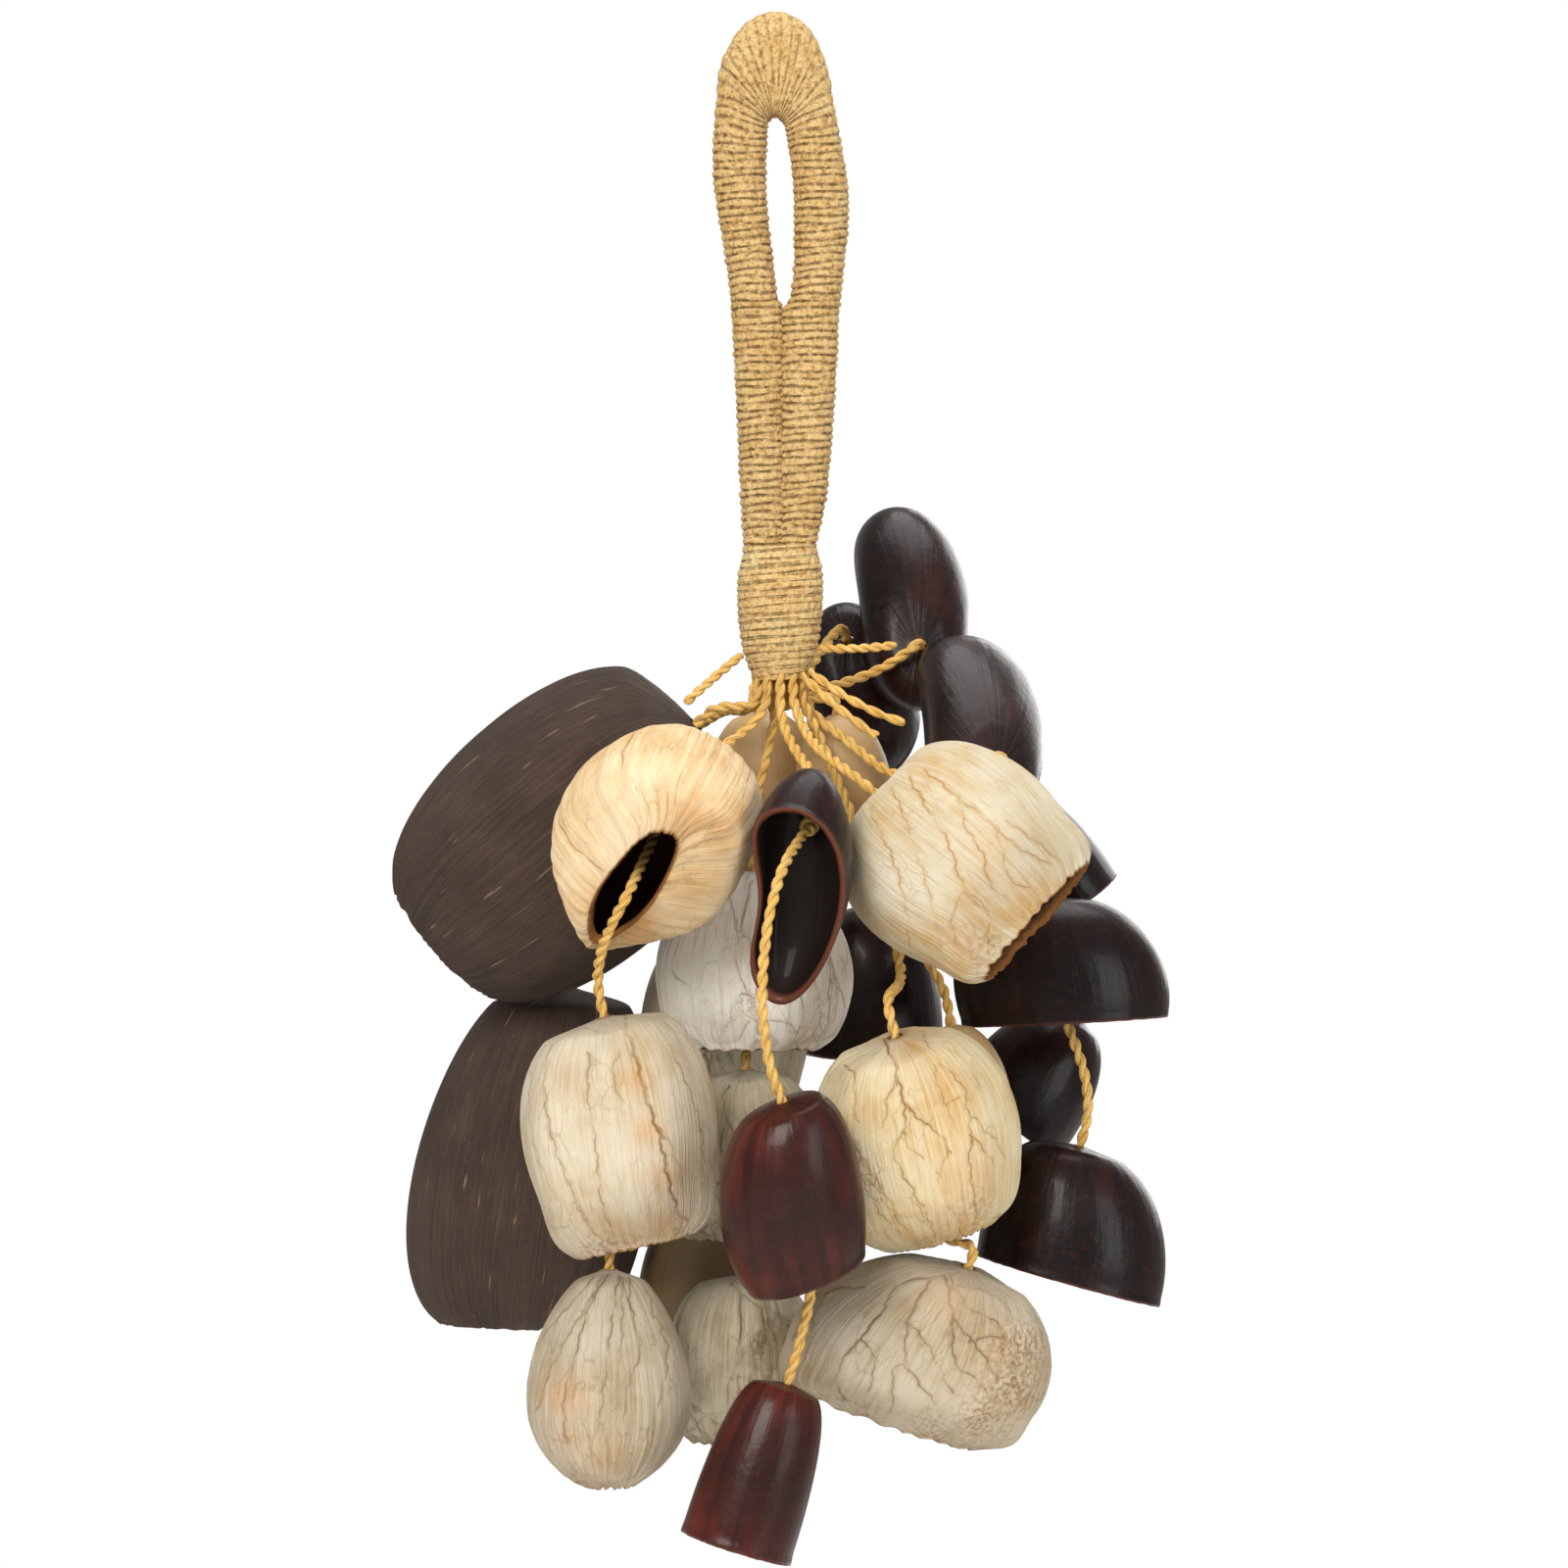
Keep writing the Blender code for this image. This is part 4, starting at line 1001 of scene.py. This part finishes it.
def bezier(start, way_out, end, way_in):
    """Points of a curve between two places, about STEP apart, without its ends."""
    far = (end - start).length
    a, b = start + way_out * far * 0.36, end - way_in * far * 0.36
    count = max(2, round(far / STEP))
    for i in range(1, count):
        t = i / count
        yield (start * (1 - t) ** 3 + a * 3 * t * (1 - t) ** 2
               + b * 3 * t * t * (1 - t) + end * t ** 3)


def string_line(top, way, stops):
    """The string's line as in the model, and where its knots sit."""
    here, out = top + Vector((0, 0, -STRAIGHT)), way
    points, knots = [top, here], []
    for hole, axis, wall, mouth, via in stops:
        entry = hole - axis * 2.5
        for i, passed in enumerate(via):
            onward = ((via + [entry])[i + 1] - here).normalized()
            points += list(bezier(here, out, passed, onward)) + [passed]
            here, out = passed, onward
        points += list(bezier(here, out, entry, axis)) + [entry]
        knot = wall + GAP
        points += [hole + axis * d for d in (knot, knot + 2, knot + 4, knot + 5.4)]
        knots.append((hole + axis * (knot + 2.6), axis))
        if hole is stops[-1][0]:
            points.append(hole + axis * (knot + LOOSE_END))
            break
        here, out = hole + axis * (knot + UNDER_KNOT), axis
        points.append(here)
        if mouth:
            here = mouth
            points.append(here)
    return points, knots


def knot_tube(centre, axis):
    """Two turns of string pulled tight round the string."""
    axis = np.array(axis)
    side = np.cross(axis, (0.3, 1.0, 0.2))
    side /= np.linalg.norm(side)
    up = np.cross(axis, side)
    t = np.linspace(0, 1, 40)
    a = math.tau * 2.2 * t
    reach = 1.05 * (1 - 0.5 * np.abs(2 * t - 1) ** 4)
    line = (np.array(centre) + np.outer((t - 0.5) * 3.4, axis)
            + reach[:, None] * (np.cos(a)[:, None] * side + np.sin(a)[:, None] * up))
    return tube(line, 0.95, 8)


def rounded(corners, parts=8):
    """A smooth curve through the corners of a line."""
    p = np.array(corners)
    p = np.concatenate([p[:1], p, p[-1:]])
    s = (np.arange(parts) / parts)[None, :, None]
    a, b, c, d = (p[k:len(p) - 3 + k, None, :] for k in range(4))
    curve = (2 * b + (c - a) * s + (2 * a - 5 * b + 4 * c - d) * s ** 2 + (3 * b - a - 3 * c + d) * s ** 3) / 2
    return np.concatenate([curve.reshape(-1, p.shape[1]), p[-1:]])


def handle_station(t):
    """The winding's outer and inner edge at t from 0 to 1 along it, and its whole length."""
    outer, inner = (rounded([e[side] for e in HANDLE_EDGES]) for side in (0, 1))
    mids = (outer + inner) / 2
    lengths = lengths_along(mids)
    want = np.asarray(t) * lengths[-1]
    outer, inner = (np.stack([np.interp(want, lengths, edge[:, k]) for k in (0, 1)], -1)
                    for edge in (outer, inner))
    return outer, inner, lengths[-1]


def handle_depth(t, total):
    """Half the winding's depth: it thins towards the feet of the legs."""
    foot = np.minimum(t, 1 - t) * total
    return mix(FOOT_DEPTH, HANDLE_DEPTH, smooth(foot / FOOT_LENGTH))


def wound_skin(name, node, stations, turns, rings, around, groove, crowned, material, seed):
    """A wound handle as one skin: ridges run round it like a screw, uneven from turn to turn.

    stations(t) gives the centre and the two half axes at t from 0 to 1."""
    rng = np.random.default_rng(seed)
    t = np.linspace(0, 1, rings)
    centre, half_a, half_b = stations(t)
    a = (np.arange(around) * math.tau / around)[None, :] + math.pi / 2
    sweep = (a - math.pi / 2) / math.tau
    wander = 0.16 * sums(rng, a, 60 * t[:, None], 4, 1, 4, 6.0)
    turn = t[:, None] * turns + sweep + wander * np.sin(math.pi * sweep) ** 2
    across = np.abs(2 * (turn - np.floor(turn)) - 1)
    ridge = 1 - across ** 2.2
    uneven = rng.uniform(-0.16, 0.12, turns + 3)[np.clip(np.floor(turn).astype(int), 0, turns + 2)]
    knobs = 0.10 * np.sin(26 * a + 2.4 * np.floor(turn)) + 0.07 * sums(rng, a, 300 * t[:, None], 5, 9, 30, 2.0)
    crown = crowned * np.exp(-((t[:, None] - 0.5) / 0.055) ** 2) + 0 * a
    lift = groove * (1 - 0.6 * crown) * (ridge - 1) + (uneven * (1 - 0.6 * crown) + knobs) * ridge
    side, up = np.cos(a), np.sin(a)
    side, up = np.sign(side) * np.abs(side) ** FULLER, np.sign(up) * np.abs(up) ** FULLER
    long_a = np.linalg.norm(half_a, axis=1)[:, None]
    long_b = np.linalg.norm(half_b, axis=1)[:, None]
    points = (centre[:, None, :] + half_a[:, None, :] * (side * (1 + lift / long_a))[..., None]
              + half_b[:, None, :] * (up * (1 + lift / long_b))[..., None])
    ends = [centre[k] + (points[k] - centre[k]) * 0.02 for k in (0, -1)]
    points = np.concatenate([ends[0][None], points, ends[1][None]])
    wind = np.stack(np.broadcast_arrays(turn, sweep * math.tau * long_a, crown), -1)
    wind = np.concatenate([wind[:1], wind, wind[-1:]])
    obj = outward(mesh_object(name, points.reshape(-1, 3), ring_faces(rings + 2, around, False), material,
                              {"wind": wind.reshape(-1, 3)}))
    shown(obj, "handle", node)


def make_object():
    twine = wound_material("twine", srgb(248, 212, 148), srgb(238, 196, 128), srgb(168, 118, 62), 0.62)
    collar_twine = wound_material("collar_twine", srgb(255, 228, 164), srgb(255, 214, 146),
                                  srgb(196, 136, 74), 0.5)
    string = twine_material("string", srgb(234, 194, 116), srgb(214, 168, 86), srgb(132, 84, 34))
    cane = plain_fibre("cane", srgb(150, 118, 78), srgb(176, 142, 98))
    materials = {"cream_" + tone: cream_material(tone) for tone in TONES}
    # tan_y, deep behind the other shells, takes the tan colours at a third: painted shade
    materials.update(
        husk=husk_material(), tan=tan_material("tan", 1.0), tan_y=tan_material("tan_painted_shade", 0.34),
        pod=pod_material("pod", srgb(18, 11, 11), srgb(32, 17, 16), srgb(50, 23, 19)))
    red_pod = pod_material("pod_red", srgb(38, 17, 14), srgb(60, 24, 19), srgb(92, 34, 24))
    materials.update(pod_o=red_pod, pod_p=red_pod)

    def handle_path(t):
        outer, inner, total = handle_station(t)
        meet = smooth((-36 - inner[:, 1]) / 6)
        inner[:, 0] += meet * np.where(t < 0.5, LEGS_MEET, -LEGS_MEET)
        middle, half = (outer + inner) / 2, (outer - inner) / 2
        zero = np.zeros(len(t))
        depth = handle_depth(t, total)
        return (np.stack([middle[:, 0], zero, middle[:, 1]], 1),
                np.stack([half[:, 0], zero, half[:, 1]], 1),
                np.stack([zero, depth, zero], 1))

    wound_skin("handle_twine", "handle_winding", handle_path, 128, 900, 76, 0.38, 1, twine, 4)

    heights, wide, deep = np.array(COLLAR_PROFILE)[::-1].T

    def collar_path(t):
        z = mix(COLLAR_TOP + 0.9, COLLAR_BOTTOM, t)
        rx, ry = np.interp(z, heights, wide), np.interp(z, heights, deep)
        zero = np.zeros(len(t))
        return np.stack([zero, zero, z], 1), np.stack([rx, zero, 0.04 * rx], 1), np.stack([zero, ry, zero], 1)

    wound_skin("collar_twine", "collar_winding", collar_path, 17, 200, 112, 0.24, 0, collar_twine, 9)
    for held in frame["nodes"]["handle_core"].material_slots:
        held.material = cane

    for name, points in TAILS.items():
        start, middle_p, end = (np.array(p, float) for p in points)
        s = np.linspace(0, 1, 24)[:, None]
        line = start * (1 - s) ** 2 + middle_p * 2 * s * (1 - s) + end * s * s
        pitch = 9.0 if name.startswith("cut") else 5.0
        parts = plies(line, 0.95, pitch, 0.4, 0.5)
        shown(join_tubes(name + "_twine", parts, string), "handle", name)

    for s, (direction, shells) in STRINGS.items():
        home = TOGETHER.get(s, s)
        body = home + "_string" if home + "_string" in frame["bodies"] else "handle"
        if direction is None:
            top, way = Vector((0, 0, COLLAR_BOTTOM + 6)), Vector((0, 0, -1))
        else:
            r = math.radians(direction)
            out = Vector((math.cos(r), math.sin(r), 0))
            top = out * FAN_R + Vector((0, 0, FAN_Z))
            way = (out * 0.5 + Vector((0, 0, -1))).normalized()
        stops = []
        for name, centre, size, facing, roll, lean in shells:
            kind = kind_of(name)
            place, top_point, turn, axis = shell_frame(centre, size, facing, roll)
            hole = top_point + turn.to_3x3() @ Vector((lean * size[0], 0, 0))
            form = form_of(name)
            across = 0 if form["slit"] else lean * size[0]
            mouth = None if name in PLUMB else top_point + turn.to_3x3() @ Vector((across, 0, 1 - size[2]))
            stops.append((hole, axis, form["wall"], mouth, [Vector(p) for p in VIA.get(name, [])]))
            look = materials["cream_" + CREAMS[name].tone] if kind == "cream" \
                else materials.get(name) or materials[kind]
            shown(outward(shell_object(name, size, lean, place, look)), body, name)
        line, knots = string_line(top, way, stops)
        line = [tuple(p) for p in line]
        rooted = [tuple(top + Vector((0, 0, ROOTED)))] + line
        parts = plies(rooted, CORD_R, 6.5, 0.6, phase_of(s))
        parts += [knot_tube(tuple(c), tuple(ax)) for c, ax in knots]
        obj = join_tubes(s + "_twisted", parts, string)
        shown(obj, body, s + "_cord")


def phase_of(name):
    """Where the twist of a string starts, different from string to string."""
    return sum(ord(c) for c in name) % 7 * 0.9


def make_stage():
    world = bpy.data.worlds.new("studio")
    bpy.context.scene.world = world
    world.use_nodes = True
    tree = world.node_tree
    back = tree.nodes["Background"]
    back.inputs["Color"].default_value = (1.0, 0.985, 0.96, 1)
    back.inputs["Strength"].default_value = 0.44
    plain = tree.nodes.new("ShaderNodeBackground")
    plain.inputs["Color"].default_value = (1, 1, 1, 1)
    plain.inputs["Strength"].default_value = 1.0
    choose = tree.nodes.new("ShaderNodeMixShader")
    path = tree.nodes.new("ShaderNodeLightPath")
    tree.links.new(path.outputs["Is Camera Ray"], choose.inputs[0])
    tree.links.new(back.outputs[0], choose.inputs[1])
    tree.links.new(plain.outputs[0], choose.inputs[2])
    tree.links.new(choose.outputs[0], tree.nodes["World Output"].inputs["Surface"])

    floor_mesh = bpy.data.meshes.new("floor")
    reach, low = 0.9, -0.52
    corners = [(x * reach, y * reach, low) for x, y in ((-1, -1), (1, -1), (1, 1), (-1, 1))]
    floor_mesh.from_pydata(corners, [], [(0, 1, 2, 3)])
    floor = bpy.data.objects.new("floor", floor_mesh)
    bpy.context.scene.collection.objects.link(floor)
    m = Nodes("floor")
    m.finish(srgb(236, 234, 230), 0.9)
    light = m.add("ShaderNodeEmission")
    light.inputs["Color"].default_value = (1, 1, 1, 1)
    light.inputs["Strength"].default_value = 1.0
    both = m.add("ShaderNodeMixShader")
    ray = m.add("ShaderNodeLightPath")
    m.put(ray.outputs["Is Camera Ray"], both.inputs[0])
    m.put(m.shader.outputs[0], both.inputs[1])
    m.put(light.outputs[0], both.inputs[2])
    m.put(both.outputs[0], m.tree.nodes["Material Output"].inputs["Surface"])
    floor_mesh.materials.append(m.material)

    def area(name, place, aim, size, power, colour=(1, 1, 1)):
        lamp = bpy.data.lights.new(name, "AREA")
        lamp.shape = "RECTANGLE"
        lamp.size, lamp.size_y = size
        lamp.energy = power
        lamp.color = colour
        obj = bpy.data.objects.new(name, lamp)
        bpy.context.scene.collection.objects.link(obj)
        obj.location = place
        obj.rotation_euler = (Vector(aim) - Vector(place)).to_track_quat("-Z", "Y").to_euler()

    middle = (0, 0, -0.14)
    area("key", (-0.45, -1.15, 0.42), middle, (0.6, 0.7), 15.6, (1.0, 0.97, 0.92))
    area("fill", (0.85, -0.95, 0.0), middle, (0.5, 0.9), 5.0, (0.94, 0.97, 1.0))
    area("top", (0.1, 0.15, 0.75), middle, (0.7, 0.7), 6.0)
    area("back", (0.5, 0.9, 0.2), middle, (0.7, 0.7), 5.0)

    camera = bpy.data.cameras.new("camera")
    camera.sensor_width = 36.0
    camera.lens = 176.2
    camera.clip_start, camera.clip_end = 0.05, 20
    view = bpy.data.objects.new("camera", camera)
    bpy.context.scene.collection.objects.link(view)
    view.location = (0.0008, -1.58, -0.1370)
    view.rotation_euler = (math.radians(90), 0, 0)
    bpy.context.scene.camera = view
    bpy.context.scene.view_settings.view_transform = "Standard"


make_stage()
make_object()
